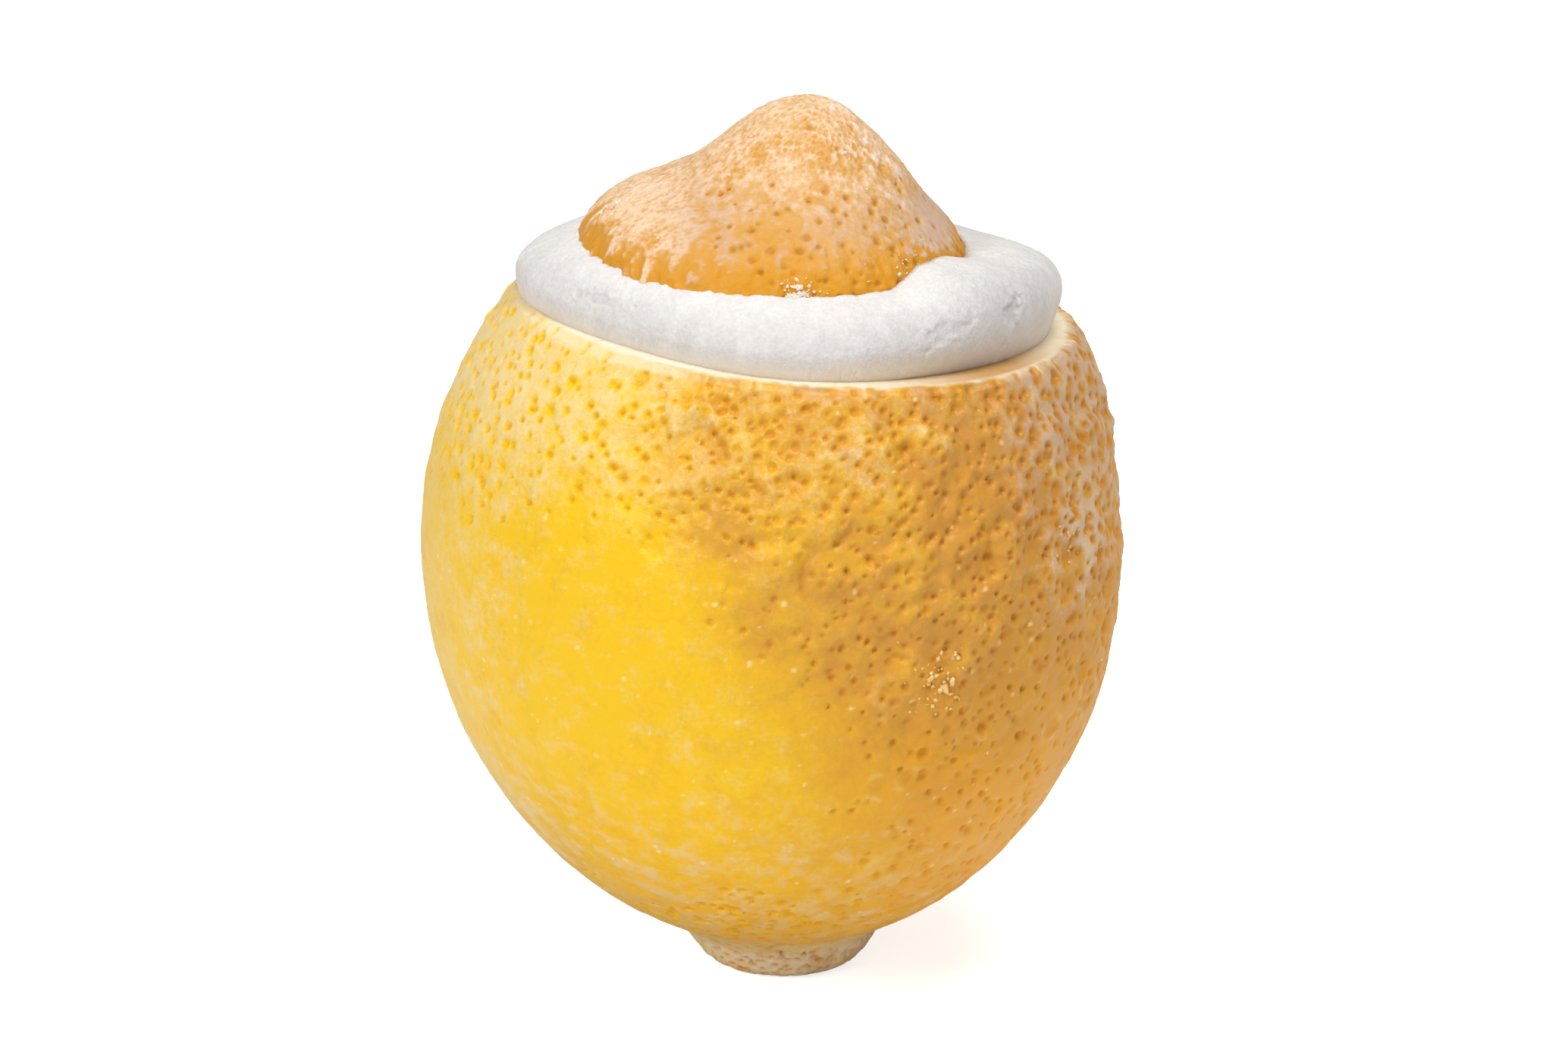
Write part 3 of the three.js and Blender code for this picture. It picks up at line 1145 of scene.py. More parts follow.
    def relief(self) -> Array:
        """Height of the skin over the plain fruit, along the normals in mm.

        It is the slow form, fine roughness, crusted frost, specks and a shoulder, less pores and pits.

        Returns:
            One height for each point.
        """
        rough = self.roughness * layered_noise(self.points, 0.9, 23, 2)
        crust = self.clump * (0.16 + 0.22 * layered_noise(self.points, 1.3, 24, 2))
        shoulder = self.shoulder_rise * self.shoulder_mound.at(self.points)
        bowl_depth = self.bowl_depth - self.bowl_less_right * self.right
        sunk = bowl_depth * self.bowl + self.hole_depth * self.hole + self.pit_depth * self.pit
        return self.form + rough + crust + 0.04 * self.speck_and_glint + shoulder - sunk

    def marks(self) -> Marks:
        """Marks of the skin, which its finish reads.

        Frost lies between the upper pores, along both sides, round the stub and in blotches above it. The
        mark near is half the distance to the nearest hole as a share of its radius. The finish draws the
        holes from it, with edges finer than the mesh, as strongly as the mark pore says.

        Returns:
            The marks by name, one value for each point.
        """
        x = self.points[:, 0]
        # Painted light and shade of the relief: raised lumps are paler and yellower, sunk ones more amber.
        relief_light_and_shade = np.clip(self.form / 0.35, -1.0, 1.0) * self.leathery
        blotch = layered_noise(self.points * np.array([1.0, 1.0, 1.5]), 1.8, 35)
        bare = 0.75 * self.right * (1.0 - self.hazy)
        frost = (0.1 + 0.14 * self.mid + 0.32 * self.small) * (1.0 - bare)
        frost += self.low * (0.27 + 0.55 * blotch) + 0.22 * self.smooth * blotch
        frost += self.rimward * self.ridge * (0.32 + 0.2 * smooth_share(x, 0.0, -25.0))
        frost += (0.24 + 0.2 * self.low) * self.left_edge + self.hazy * (0.14 + 0.45 * self.ridge)
        frost += 0.7 * self.clump + 0.65 * self.crease + 0.4 * self.stub + 0.12 * relief_light_and_shade * self.leathery
        # The share falls towards the right partly as painted shade, on the side away from the light.
        ripe_and_lit_side = 0.72 - 0.48 * self.right - x / 70.0 + 0.06 * self.upper + 0.15 * self.smooth + 0.1 * relief_light_and_shade
        # Painted shade darkens the valley; the stub and the crease take their own colours.
        ripe_and_lit_side -= 0.2 * self.valley + 0.5 * self.stub + 0.3 * self.crease
        # On the lower right this mark is partly painted bounce light from the floor.
        gold_and_bounce = self.lower * self.right * (0.75 + 0.4 * self.mid) + 0.3 * self.low
        faint = 0.4 * self.lower * (1.0 - self.stub)
        spots = smooth_share(layered_noise(self.points, 0.9, 25), 0.1, 0.5)
        brown_and_shade = 0.35 * self.stub * spots * smooth_share(x, -6.0, 0.0)
        dusty = self.low * smooth_share(x, -30.0, -8.0)
        pale_edge = 0.6 * smooth_share(self.below, 1.3, 0.1) * smooth_share(x, 2.0, -14.0)
        return {
            "ripe_and_lit_side": np.clip(ripe_and_lit_side, 0.0, 1.0),
            "gold_and_bounce": np.clip(gold_and_bounce, 0.0, 1.0) * (1.0 - self.stub),
            "frost": np.clip(frost, 0.0, 1.0) * (1.0 - 0.6 * self.hollow) * (0.35 + 0.65 * self.ridge),
            "low": dusty * (1.0 - np.maximum(self.stub, self.crease)),
            "near": np.clip(0.5 * np.minimum(self.near, self.wide_near), 0.0, 1.0),
            "pore": (0.5 + 0.45 * self.right) * self.strength * (1.0 - faint),
            "speck_and_glint": self.speck_and_glint * (1.0 - self.stub),
            # The wash over the upper right is painted shade; the stub's spots are real.
            "brown_and_shade": brown_and_shade + 0.25 * self.upper * smooth_share(x, 10.0, 22.0),
            "wood": 0.55 * self.stub * smooth_share(self.mid, -0.9, 0.1),
            "pith": pale_edge * (1.0 - self.hollow),
        }


@dataclass
class PeelShell:
    """The hollowed lemon: pored skin from the foot to the cut, the cream rim, and the plain cavity."""

    fruit: Fruit
    columns: int = 880
    foot_rows: int = 4
    skin_rows: int = 404
    rim_rows: int = 22
    cavity_rows: int = 8
    edge_round: float = 0.5
    profile_steps: int = 4000
    row_stretch: float = 3.0
    chart_margin: float = 4.0
    foot_wood: float = 0.8
    foot_brown: float = 0.2
    rim_power: float = 1.5
    rim_rough: float = 0.05
    rim_stain: float = 0.16
    cavity_stain: float = 0.5
    pith_fade: Fade = Fade(0.0, 0.16)
    shadow_stain_angle: float = -38.0
    shadow_stain_width: float = 0.37
    map_skin: float = 0.96
    map_walls: tuple[float, float] = (0.97, 0.985)
    map_wall_height: float = 0.01
    grid: Array = field(init=False)
    normals: Array = field(init=False)
    marks: Marks = field(init=False)

    def lay_out(self) -> None:
        """Lays the shell out on one grid, carves its relief, and keeps its places, normals and marks."""
        angle = -TURN / 8.0 + TURN * np.arange(self.columns) / self.columns
        cavity = self.fruit.hollow_rings(angle, self.fruit.wall, self.cavity_rows)
        base = np.concatenate([self.foot(angle), self.skin(angle), self.rim(angle), cavity])
        normals = grid_normals(base)
        first = self.foot_rows
        last = first + self.skin_rows
        relief = np.zeros(base.shape[:2])
        names = ("ripe_and_lit_side", "gold_and_bounce", "frost", "low", "pore", "speck_and_glint", "brown_and_shade", "wood", "juice_stain_and_shadow", "pith")
        self.marks = {name: np.zeros(base.shape[:2]) for name in names}
        self.marks["near"] = np.ones(base.shape[:2])
        flat = base[first:last].reshape(-1, 3)
        dress = PeelSkin(self.fruit, flat, self.chart(flat))
        relief[first:last] = dress.relief().reshape(self.skin_rows, -1)
        for name, values in dress.marks().items():
            self.marks[name][first:last] = values.reshape(self.skin_rows, -1)
        self.dress_rim(base, relief, last)
        self.marks["ripe_and_lit_side"][:first] = self.marks["ripe_and_lit_side"][first]
        self.marks["wood"][:first] = self.foot_wood
        self.marks["brown_and_shade"][:first] = self.foot_brown
        self.grid = base + relief[..., None] * normals
        self.grid[..., 2] = np.maximum(self.grid[..., 2], 0.0)
        self.normals = grid_normals(self.grid)

    def foot(self, angle: Array) -> Array:
        """Rings of the flat foot, growing from near its middle to its rounded edge."""
        share = (np.arange(self.foot_rows) + 1.0)[:, None] / (self.foot_rows + 1.0)
        edge = self.fruit.skin_radius(np.zeros(1), angle)
        return self.fruit.place(np.zeros((self.foot_rows, 1)), angle[None, :], share * edge)

    def skin(self, angle: Array) -> Array:
        """Rings up the skin, evenly spaced by length; the upper ones stretch, so the last lies at the cut.

        Args:
            angle: Angles of the columns.

        Returns:
            Places, rows by columns.
        """
        fruit = self.fruit
        level = fruit.cut_height * np.linspace(0.0, 1.0, self.profile_steps) ** 2
        profile = np.stack([fruit.skin_radius(level, np.zeros(1)), level], -1)
        share = even_rows(profile, self.skin_rows)
        rows = fruit.cut_height * share[:, None] ** 2
        edge = fruit.height_at_cut(angle, None) - self.edge_round
        height = rows + (edge - fruit.cut_height)[None, :] * (rows / fruit.cut_height) ** self.row_stretch
        return fruit.place(height, angle[None, :], fruit.skin_radius(height, angle[None, :]))

    def rim_share(self) -> Array:
        """Share of the way across the cut of each rim row; the rows are closest at the skin."""
        return np.linspace(0.0, 1.0, self.rim_rows + 1)[1:] ** self.rim_power

    def rim(self, angle: Array) -> Array:
        """Rings across the cut: a quarter round at the skin, then flat to the cavity's edge.

        Args:
            angle: Angles of the columns.

        Returns:
            Places, rows by columns.
        """
        fruit = self.fruit
        outer_height = fruit.height_at_cut(angle, None)
        inner_height = fruit.height_at_cut(angle, fruit.wall)
        outer = fruit.place(outer_height, angle, fruit.skin_radius(outer_height, angle))
        inner = fruit.place(inner_height, angle, fruit.plain_radius(inner_height, fruit.wall))
        share = self.rim_share()[:, None, None]
        places = outer + share * (inner - outer)
        inward = share[..., 0] * np.linalg.norm(inner - outer, axis=-1)
        short = np.maximum(0.0, 1.0 - inward / self.edge_round)
        places[..., 2] -= self.edge_round * (1.0 - np.sqrt(1.0 - short**2))
        return places

    def chart(self, points: Array) -> Chart:
        """Flat map of the skin, by its profile's length on the right and the angle round the middle line.

        Args:
            points: Places on the plain skin.

        Returns:
            The map of those places.
        """
        fruit = self.fruit
        level = (fruit.cut_height + self.chart_margin) * np.linspace(0.0, 1.0, self.profile_steps) ** 2
        ring = fruit.skin_radius(level, np.zeros(1))
        way = way_along(np.stack([ring, level], -1))
        x, y, height = points.T
        across = x - fruit.middle_x(height)
        return Chart(np.interp(height, level, way), np.arctan2(y, across), np.hypot(y, across), way, ring)

    def dress_rim(self, base: Array, relief: Array, first: int) -> None:
        """Marks the rim as pith, roughens it a little, and tints it under the sorbet with juice and painted
        shadow.

        Args:
            base: Plain grid of the whole shell.
            relief: Relief of the grid, which gets the rim's share.
            first: First row of the rim.
        """
        last = first + self.rim_rows
        places = base[first:last]
        across = self.rim_share()[:, None]
        relief[first:last] = self.rim_rough * layered_noise(places, 1.4, 26) * smooth_share(across, 0.0, 0.1)
        relief[first:last] += relief[first - 1] * smooth_share(across, 0.06, 0.0)
        uneven = across + 0.05 * soft_noise(places, 0.7, 27) + 0.05 * soft_noise(places, 2.0, 29)
        pith = self.pith_fade.at(uneven)
        self.marks["pith"][first:last] = np.maximum(pith, self.marks["pith"][first - 1])
        self.marks["pith"][last:] = 1.0
        for name in ("ripe_and_lit_side", "frost", "speck_and_glint", "pore"):
            self.marks[name][first:last] = self.marks[name][first - 1]
        self.marks["near"][first:last] = np.minimum(1.0, self.marks["near"][first - 1] + 12.0 * across)
        around = np.arctan2(places[..., 1], places[..., 0])
        # Painted shadow: at the front right, under the sorbet's overhang, the mark covers the rim nearly to
        # its edge.
        front_right = bell(around, math.radians(self.shadow_stain_angle), self.shadow_stain_width)
        inner = smooth_share(across, 0.3, 0.75)
        covered = smooth_share(across, 0.03, 0.24)
        self.marks["juice_stain_and_shadow"][first:last] = np.clip(self.rim_stain * inner + front_right * covered, 0.0, 1.0)
        self.marks["juice_stain_and_shadow"][last:] = self.cavity_stain

    def quarter(self, side: Side) -> Surface:
        """Cuts one closed quarter out of the grid, with its two side walls.

        Args:
            side: Which quarter.

        Returns:
            The quarter's surface, which shares its border points and normals with its neighbours.
        """
        span = self.columns // len(Side)
        columns = (side.value * span + np.arange(span + 1)) % self.columns
        grid = self.grid[:, columns]
        rows, width = grid.shape[:2]
        count = rows * width
        poles = np.stack([np.zeros(3), self.fruit.floor_middle(self.fruit.wall)])
        quads, quad_map = grid_faces(rows, width, False)
        fans, fan_map = pole_faces(rows, width, False, count, count + 1)
        walls, wall_map = self.side_walls(grid, poles, count)
        skin_part = np.array([1.0, self.map_skin])
        marks = {
            name: np.concatenate([values[:, columns].ravel(), [values[0].mean()], [values[-1].mean()]])
            for name, values in self.marks.items()
        }
        pole_normals = np.array([[0.0, 0.0, -1.0], [0.0, 0.0, 1.0]])
        normals = np.concatenate([self.normals[:, columns].reshape(-1, 3), pole_normals])
        return Surface(
            np.concatenate([grid.reshape(-1, 3), poles]),
            quads,
            np.concatenate([fans, walls]),
            quad_map * skin_part,
            np.concatenate([fan_map * skin_part, wall_map]),
            marks,
            normals,
        )

    def side_walls(self, grid: Array, poles: Array, count: int) -> tuple[Array, Array]:
        """Faces that close a quarter at its first and last columns.

        The outer line, from the foot up to the rim, is zipped to the inner line, from the cavity's floor up
        to the rim: each next point of either line, in the order of their shares of length, makes one face.

        Args:
            grid: The quarter's grid.
            poles: Middle of the foot and middle of the cavity's floor.
            count: Number of points in the grid.

        Returns:
            Point numbers of the faces, and their places on the bake map.
        """
        rows, width = grid.shape[:2]
        split = self.foot_rows + self.skin_rows + self.rim_rows // 2
        faces, places = [], []
        for column, flip, level in zip((0, width - 1), (False, True), self.map_walls):
            outer = np.concatenate([[count], np.arange(split) * width + column])
            inner = np.concatenate([[count + 1], np.arange(rows - 1, split - 1, -1) * width + column])
            outer_line = np.concatenate([poles[:1], grid[:split, column]])
            inner_line = np.concatenate([poles[1:], grid[:split - 1:-1, column]])
            outer_share = self.length_share(outer_line)
            inner_share = self.length_share(inner_line)
            steps = np.concatenate([outer_share[1:], inner_share[1:]])
            is_outer = np.arange(len(steps)) < len(outer) - 1
            order = np.argsort(steps, kind="stable")
            turn = is_outer[order]
            at_outer = np.cumsum(turn) - turn
            at_inner = np.cumsum(~turn) - ~turn
            next_outer = np.minimum(at_outer + 1, len(outer) - 1)
            next_inner = np.minimum(at_inner + 1, len(inner) - 1)
            second = np.where(turn, outer[next_outer], inner[next_inner])
            made = np.stack([outer[at_outer], second, inner[at_inner]], 1)
            second_share = np.where(turn, outer_share[next_outer], inner_share[next_inner])
            across = np.stack([outer_share[at_outer], second_share, inner_share[at_inner]], 1)
            high = level + self.map_wall_height
            flat = np.ones(len(turn))
            up = np.stack([level * flat, np.where(turn, level, high), high * flat], 1)
            faces.append(made[:, ::-1] if flip else made)
            placed = np.stack([across, up], -1)
            places.append(placed[:, ::-1] if flip else placed)
        return np.concatenate(faces), np.concatenate(places)

    @staticmethod
    def length_share(line: Array) -> Array:
        """Share of a line's length at each of its points."""
        length = way_along(line)
        return length / length[-1]

    def build(self, material: Material) -> None:
        """Lays the shell out and makes its four quarters.

        Args:
            material: Finish of the peel.
        """
        self.lay_out()
        for side in Side:
            self.quarter(side).to_piece(f"peel_{side.name.lower()}", material, "peel", "lemon_shell")


@dataclass
class CapSkin:
    """Dress of the cap's skin: the zones, holes, relief and marks of its points, in the cap's own frame.

    A zone is a share from 0 to 1 for each point. Fades, depths and rises are in mm, angles in radians.
    """

    points: Array
    chart: Chart
    tip_x: float
    pores: PitField = PitField(2.0, 0.5, 0.4, 501, 0.9)
    beads: PitField = PitField(0.72, 0.36, 0.3, 551, 0.9, 0.1, 0.5)
    bead_share: float = 0.9
    left_fade: Fade = Fade(-2.0, -11.0)
    high_fade: Fade = Fade(8.5, 12.5)
    band_fade: Fade = Fade(6.6, 1.7)
    crests: tuple[Mound, ...] = (Mound((3.0, 0.0, 16.0), 3.5), Mound((9.5, 0.0, 10.0), 4.0))
    shoulder_mound: Mound = Mound((-14.5, -5.0, 5.5), 4.0)
    flank_mound: Mound = Mound((13.5, -6.5, 6.0), 5.5)
    ridge_angle: float = -0.35
    ridge_width: float = 0.42
    furrow_spread: float = 12.0
    furrow_depth: float = 0.32
    crest_rise: float = 0.5
    bead_depth: float = 0.12
    bowl_depth: float = 0.1
    pore_depth: float = 0.18

    def __post_init__(self) -> None:
        """Finds the zones, and then the holes in them."""
        self.find_zones()
        self.find_holes()

    def find_zones(self) -> None:
        """Finds the zones and furrows, from places and heights that noise makes uneven.

        Furrows run down to an amber band at the edge. The left and the tip are granular, and a rough ridge
        falls from the tip to the right.
        """
        x, y, z = self.points.T
        angle = np.arctan2(y, x)
        self.slow: Array = layered_noise(self.points, 7.0, 41)
        self.mid: Array = layered_noise(self.points, 2.4, 42)
        self.grains: Array = layered_noise(self.points, 0.6, 44, 2)
        self.left: Array = self.left_fade.at(x + 2.0 * self.slow)
        self.high: Array = self.high_fade.at(z + self.mid)
        around = self.furrow_spread * np.stack([np.cos(angle), np.sin(angle)], -1)
        slope = np.concatenate([around, 0.2 * self.chart.way[:, None]], -1)
        self.line: Array = soft_noise(slope, 0.5, 43)
        uneven = z + 0.6 * self.mid + 0.4 * self.slow + 0.6 * self.line + 1.3 * self.left
        self.low: Array = self.band_fade.at(uneven)
        self.granular: Array = np.maximum(self.left, self.high) * (1.0 - self.low)
        ridge = bell(np.arctan2(y, x - self.tip_x), self.ridge_angle, self.ridge_width)
        self.ridge: Array = ridge * smooth_share(z, 6.5, 11.0)
        self.furrow: Array = self.line * self.low * (0.5 + 0.5 * np.abs(np.cos(angle)) ** 3)
        streak = layered_noise(slope * np.array([1.0, 1.0, 1.6]), 0.6, 46, 2)
        self.streak: Array = streak * smooth_share(self.chart.ring, 4.0, 9.0)

    def find_holes(self) -> None:
        """Finds the pores, which dot all but the left and the tip, and the granular zone's fine beads."""
        z = self.points[:, 2]
        wanted = (1.0 - self.left) * smooth_share(z, 11.0, 8.0) - 0.2 * self.low + 0.4 * self.slow
        near, own = self.pores.scan(self.points, self.chart, wanted)
        self.near: Array = near
        self.own: Array = own
        self.bowl: Array = smooth_share(near, 1.8, 0.1)
        self.pore: Array = smooth_share(near, 1.0, 0.3) * (0.4 + 0.6 * own)
        bead_near, bead_own = self.beads.scan(self.points, self.chart, np.full(len(z), self.bead_share))
        self.bead: Array = smooth_share(bead_near, 1.2, 0.2) * self.granular
        self.bead_ring: Array = bell(bead_near, 0.95, 0.4) * (0.3 + 0.7 * bead_own) * self.granular

    def relief(self) -> Array:
        """Height of the skin over the plain cap, along the normals in mm.

        It is lumps, furrows, grain, crests that round off the tip's right and a ridge, less beads and pores.

        Returns:
            One height for each point.
        """
        crest = sum(crest.at(self.points) for crest in self.crests)
        left_foot = 0.3 * self.left * smooth_share(self.points[:, 2], 6.0, 3.0)
        relief = 0.14 * self.mid + self.furrow_depth * self.furrow + (0.08 + 0.05 * self.low) * self.grains
        relief += self.crest_rise * crest - self.bead_depth * self.bead
        relief += 0.04 * self.left * (1.0 - self.low) * self.streak + left_foot
        relief += self.ridge * (0.3 * layered_noise(self.points, 1.5, 45, 2) + 0.1)
        relief -= self.bowl_depth * self.bowl + self.pore_depth * self.pore
        return relief

    def marks(self) -> Marks:
        """Marks of the skin, which its finish reads; it draws the pores from near and pore, as on the peel.

        Returns:
            The marks by name, one value for each point.
        """
        x, _, z = self.points.T
        shoulder = self.shoulder_mound.at(self.points)
        flank = self.flank_mound.at(self.points)
        edge = smooth_share(x, 11.0, 17.0) * (1.0 - self.low)
        golden = smooth_share(self.slow - 0.3 * self.mid, 0.0, 0.45) * (1.0 - self.left)
        beaded = 0.4 * (self.bead_ring - 0.3 * self.bead)
        lined = self.low * (0.35 * self.grains + 0.5 * self.line)
        frost = 0.42 + 0.12 * self.slow + 0.08 * self.mid + 0.1 * self.left - 0.78 * self.low
        frost = frost + 0.3 * shoulder - 0.3 * golden
        frost += 0.1 * flank + 0.9 * edge + 0.12 * self.ridge + 0.6 * self.furrow
        frost += (0.5 - 0.22 * self.high) * self.grains + 0.08 * self.high
        frost += 0.12 * self.granular * self.streak + beaded + lined
        flecks = smooth_share(self.grains + 0.5 * self.slow, 0.3, 0.7)
        icy = np.clip(0.75 * self.ridge + 0.28 * self.high + 0.8 * shoulder + 0.3 * flank, 0.0, 0.85)
        band = self.low * (1.1 - 0.5 * self.furrow) + 0.35 * golden + 0.25 * self.bowl
        return {
            "band": np.clip(band, 0.0, 1.0),
            "frost": np.clip(frost, 0.0, 1.0) * (1.0 - 0.8 * self.pore),
            # Painted shade low on the cap's flanks, all but the left.
            "dull_and_shaded": smooth_share(z + 2.0 * self.slow, 11.0, 6.0) * smooth_share(x, -13.0, -6.0),
            "near": np.clip(0.5 * self.near, 0.0, 1.0),
            "pore": 0.6 + 0.4 * self.own,
            "rime": flecks * icy * (1.0 - self.pore),
        }


@dataclass
class LemonCap:
    """The lemon's pointed end, set on the sorbet: a blunt-edged dome with a rounded tip, tilted a little."""

    radius: float = 19.3
    middle: Triple = (-0.8, -0.95, 74.4)
    tilt: float = 0.081
    pitch: float = -0.02
    dome_height: float = 7.3
    dome_flatness: float = 4.5
    dome_edge: float = 0.62
    tip_height: float = 8.7
    tip_x: float = 2.0
    tip_width: float = 9.6
    tip_power: float = 2.65
    tip_fade: float = 8.0
    columns: int = 640
    rows: int = 144
    base_rows: int = 6
    profile_steps: int = 4000
    grid: Array = field(init=False)
    normals: Array = field(init=False)

    def height(self, x: Array, y: Array) -> Array:
        """Height over the base: the dome's blunt edge, plus a bell for the tip that fades at the edge.

        Args:
            x: Places across, in the cap's own frame.
            y: Places in depth.

        Returns:
            Heights in mm.
        """
        share = np.minimum(1.0, np.hypot(x, y) / self.radius)
        dome = self.dome_height * (1.0 - share**self.dome_flatness) ** self.dome_edge
        tip = self.tip_height * np.exp(-((np.hypot(x - self.tip_x, y) / self.tip_width) ** self.tip_power))
        return dome + tip * (1.0 - share**self.tip_fade)

    def skin(self, share: Array, angle: Array) -> Array:
        """Places on the cap's skin in its own frame; rings close in on the tip as the share falls to 0.

        Args:
            share: Share of the radius.
            angle: Angles round the cap.

        Returns:
            Places in mm.
        """
        x = self.tip_x * (1.0 - share) + self.radius * share * np.cos(angle)
        y = self.radius * share * np.sin(angle)
        return np.stack(np.broadcast_arrays(x, y, self.height(x, y)), -1)

    def to_world(self, places: Array) -> Array:
        """Turns places by the tilt about Y, then by the pitch about X, and moves them to the cap's middle.

        Args:
            places: Places in the cap's own frame.

        Returns:
            Places in the shared frame.
        """
        x, y, z = np.moveaxis(places, -1, 0)
        across = x * math.cos(self.tilt) + z * math.sin(self.tilt)
        lift = -x * math.sin(self.tilt) + z * math.cos(self.tilt)
        depth = y * math.cos(self.pitch) - lift * math.sin(self.pitch)
        rise = y * math.sin(self.pitch) + lift * math.cos(self.pitch)
        return np.stack([across, depth, rise], -1) + np.array(self.middle)

    def build(self, material: Material) -> None:
        """Lays the cap out on a grid, carves it and makes its piece.

        Args:
            material: Finish of the cap.
        """
        angle = TURN * np.arange(self.columns) / self.columns
        quarter_turn = np.linspace(0.0, np.pi / 2.0, self.profile_steps)
        profile = self.skin(np.cos(quarter_turn), np.full(self.profile_steps, -np.pi / 2.0))
        share = np.cos(even_rows(profile, self.rows + 1)[:-1] * np.pi / 2.0)
        local = self.skin(share[:, None], angle[None, :])
        normals = grid_normals(local)
        dress = CapSkin(local.reshape(-1, 3), self.chart(share, angle, profile), self.tip_x)
        shape = local.shape[:2]
        local = local + dress.relief().reshape(shape)[..., None] * normals
        base_share = ((np.arange(self.base_rows) + 1.0) / (self.base_rows + 1.0))[:, None, None]
        base = base_share * local[:1]
        tip = self.skin(np.zeros(1), np.zeros(1))[0]
        rings = self.to_world(np.concatenate([base, local]))
        more = ((self.base_rows, 0), (0, 0))
        full = {name: np.pad(values.reshape(shape), more, "edge") for name, values in dress.marks().items()}
        surface = stacked_surface(rings, np.array(self.middle), self.to_world(tip), full)
        surface.to_piece("cap_peel", material, "frosted_peel", "lemon_cap")
        self.grid = rings[self.base_rows:]
        self.normals = grid_normals(self.grid)

    def chart(self, share: Array, angle: Array, profile: Array) -> Chart:
        """Flat map of the cap's skin, by its front profile's length from the edge and the angle at the tip.

        Args:
            share: Share of the radius, one for each row.
            angle: Angles of the columns.
            profile: Fine profile from the edge to the tip.

        Returns:
            The map of the grid's points.
        """
        way = way_along(profile)
        ring = np.abs(profile[:, 1])
        row_way = np.interp(-share * self.radius, -ring, way)
        rows, columns = len(share), len(angle)
        row_ring = np.repeat(share * self.radius, columns)
        return Chart(np.repeat(row_way, columns), np.tile(angle, rows), row_ring, way, ring)


@dataclass(frozen=True)
class SpoonMark:
    """Shallow scoop in the sorbet: angle in degrees, share of the way up, half sizes, depth and turn."""

    angle: float
    share: float
    long: float
    wide: float
    depth: float
    turn: float = 0.0


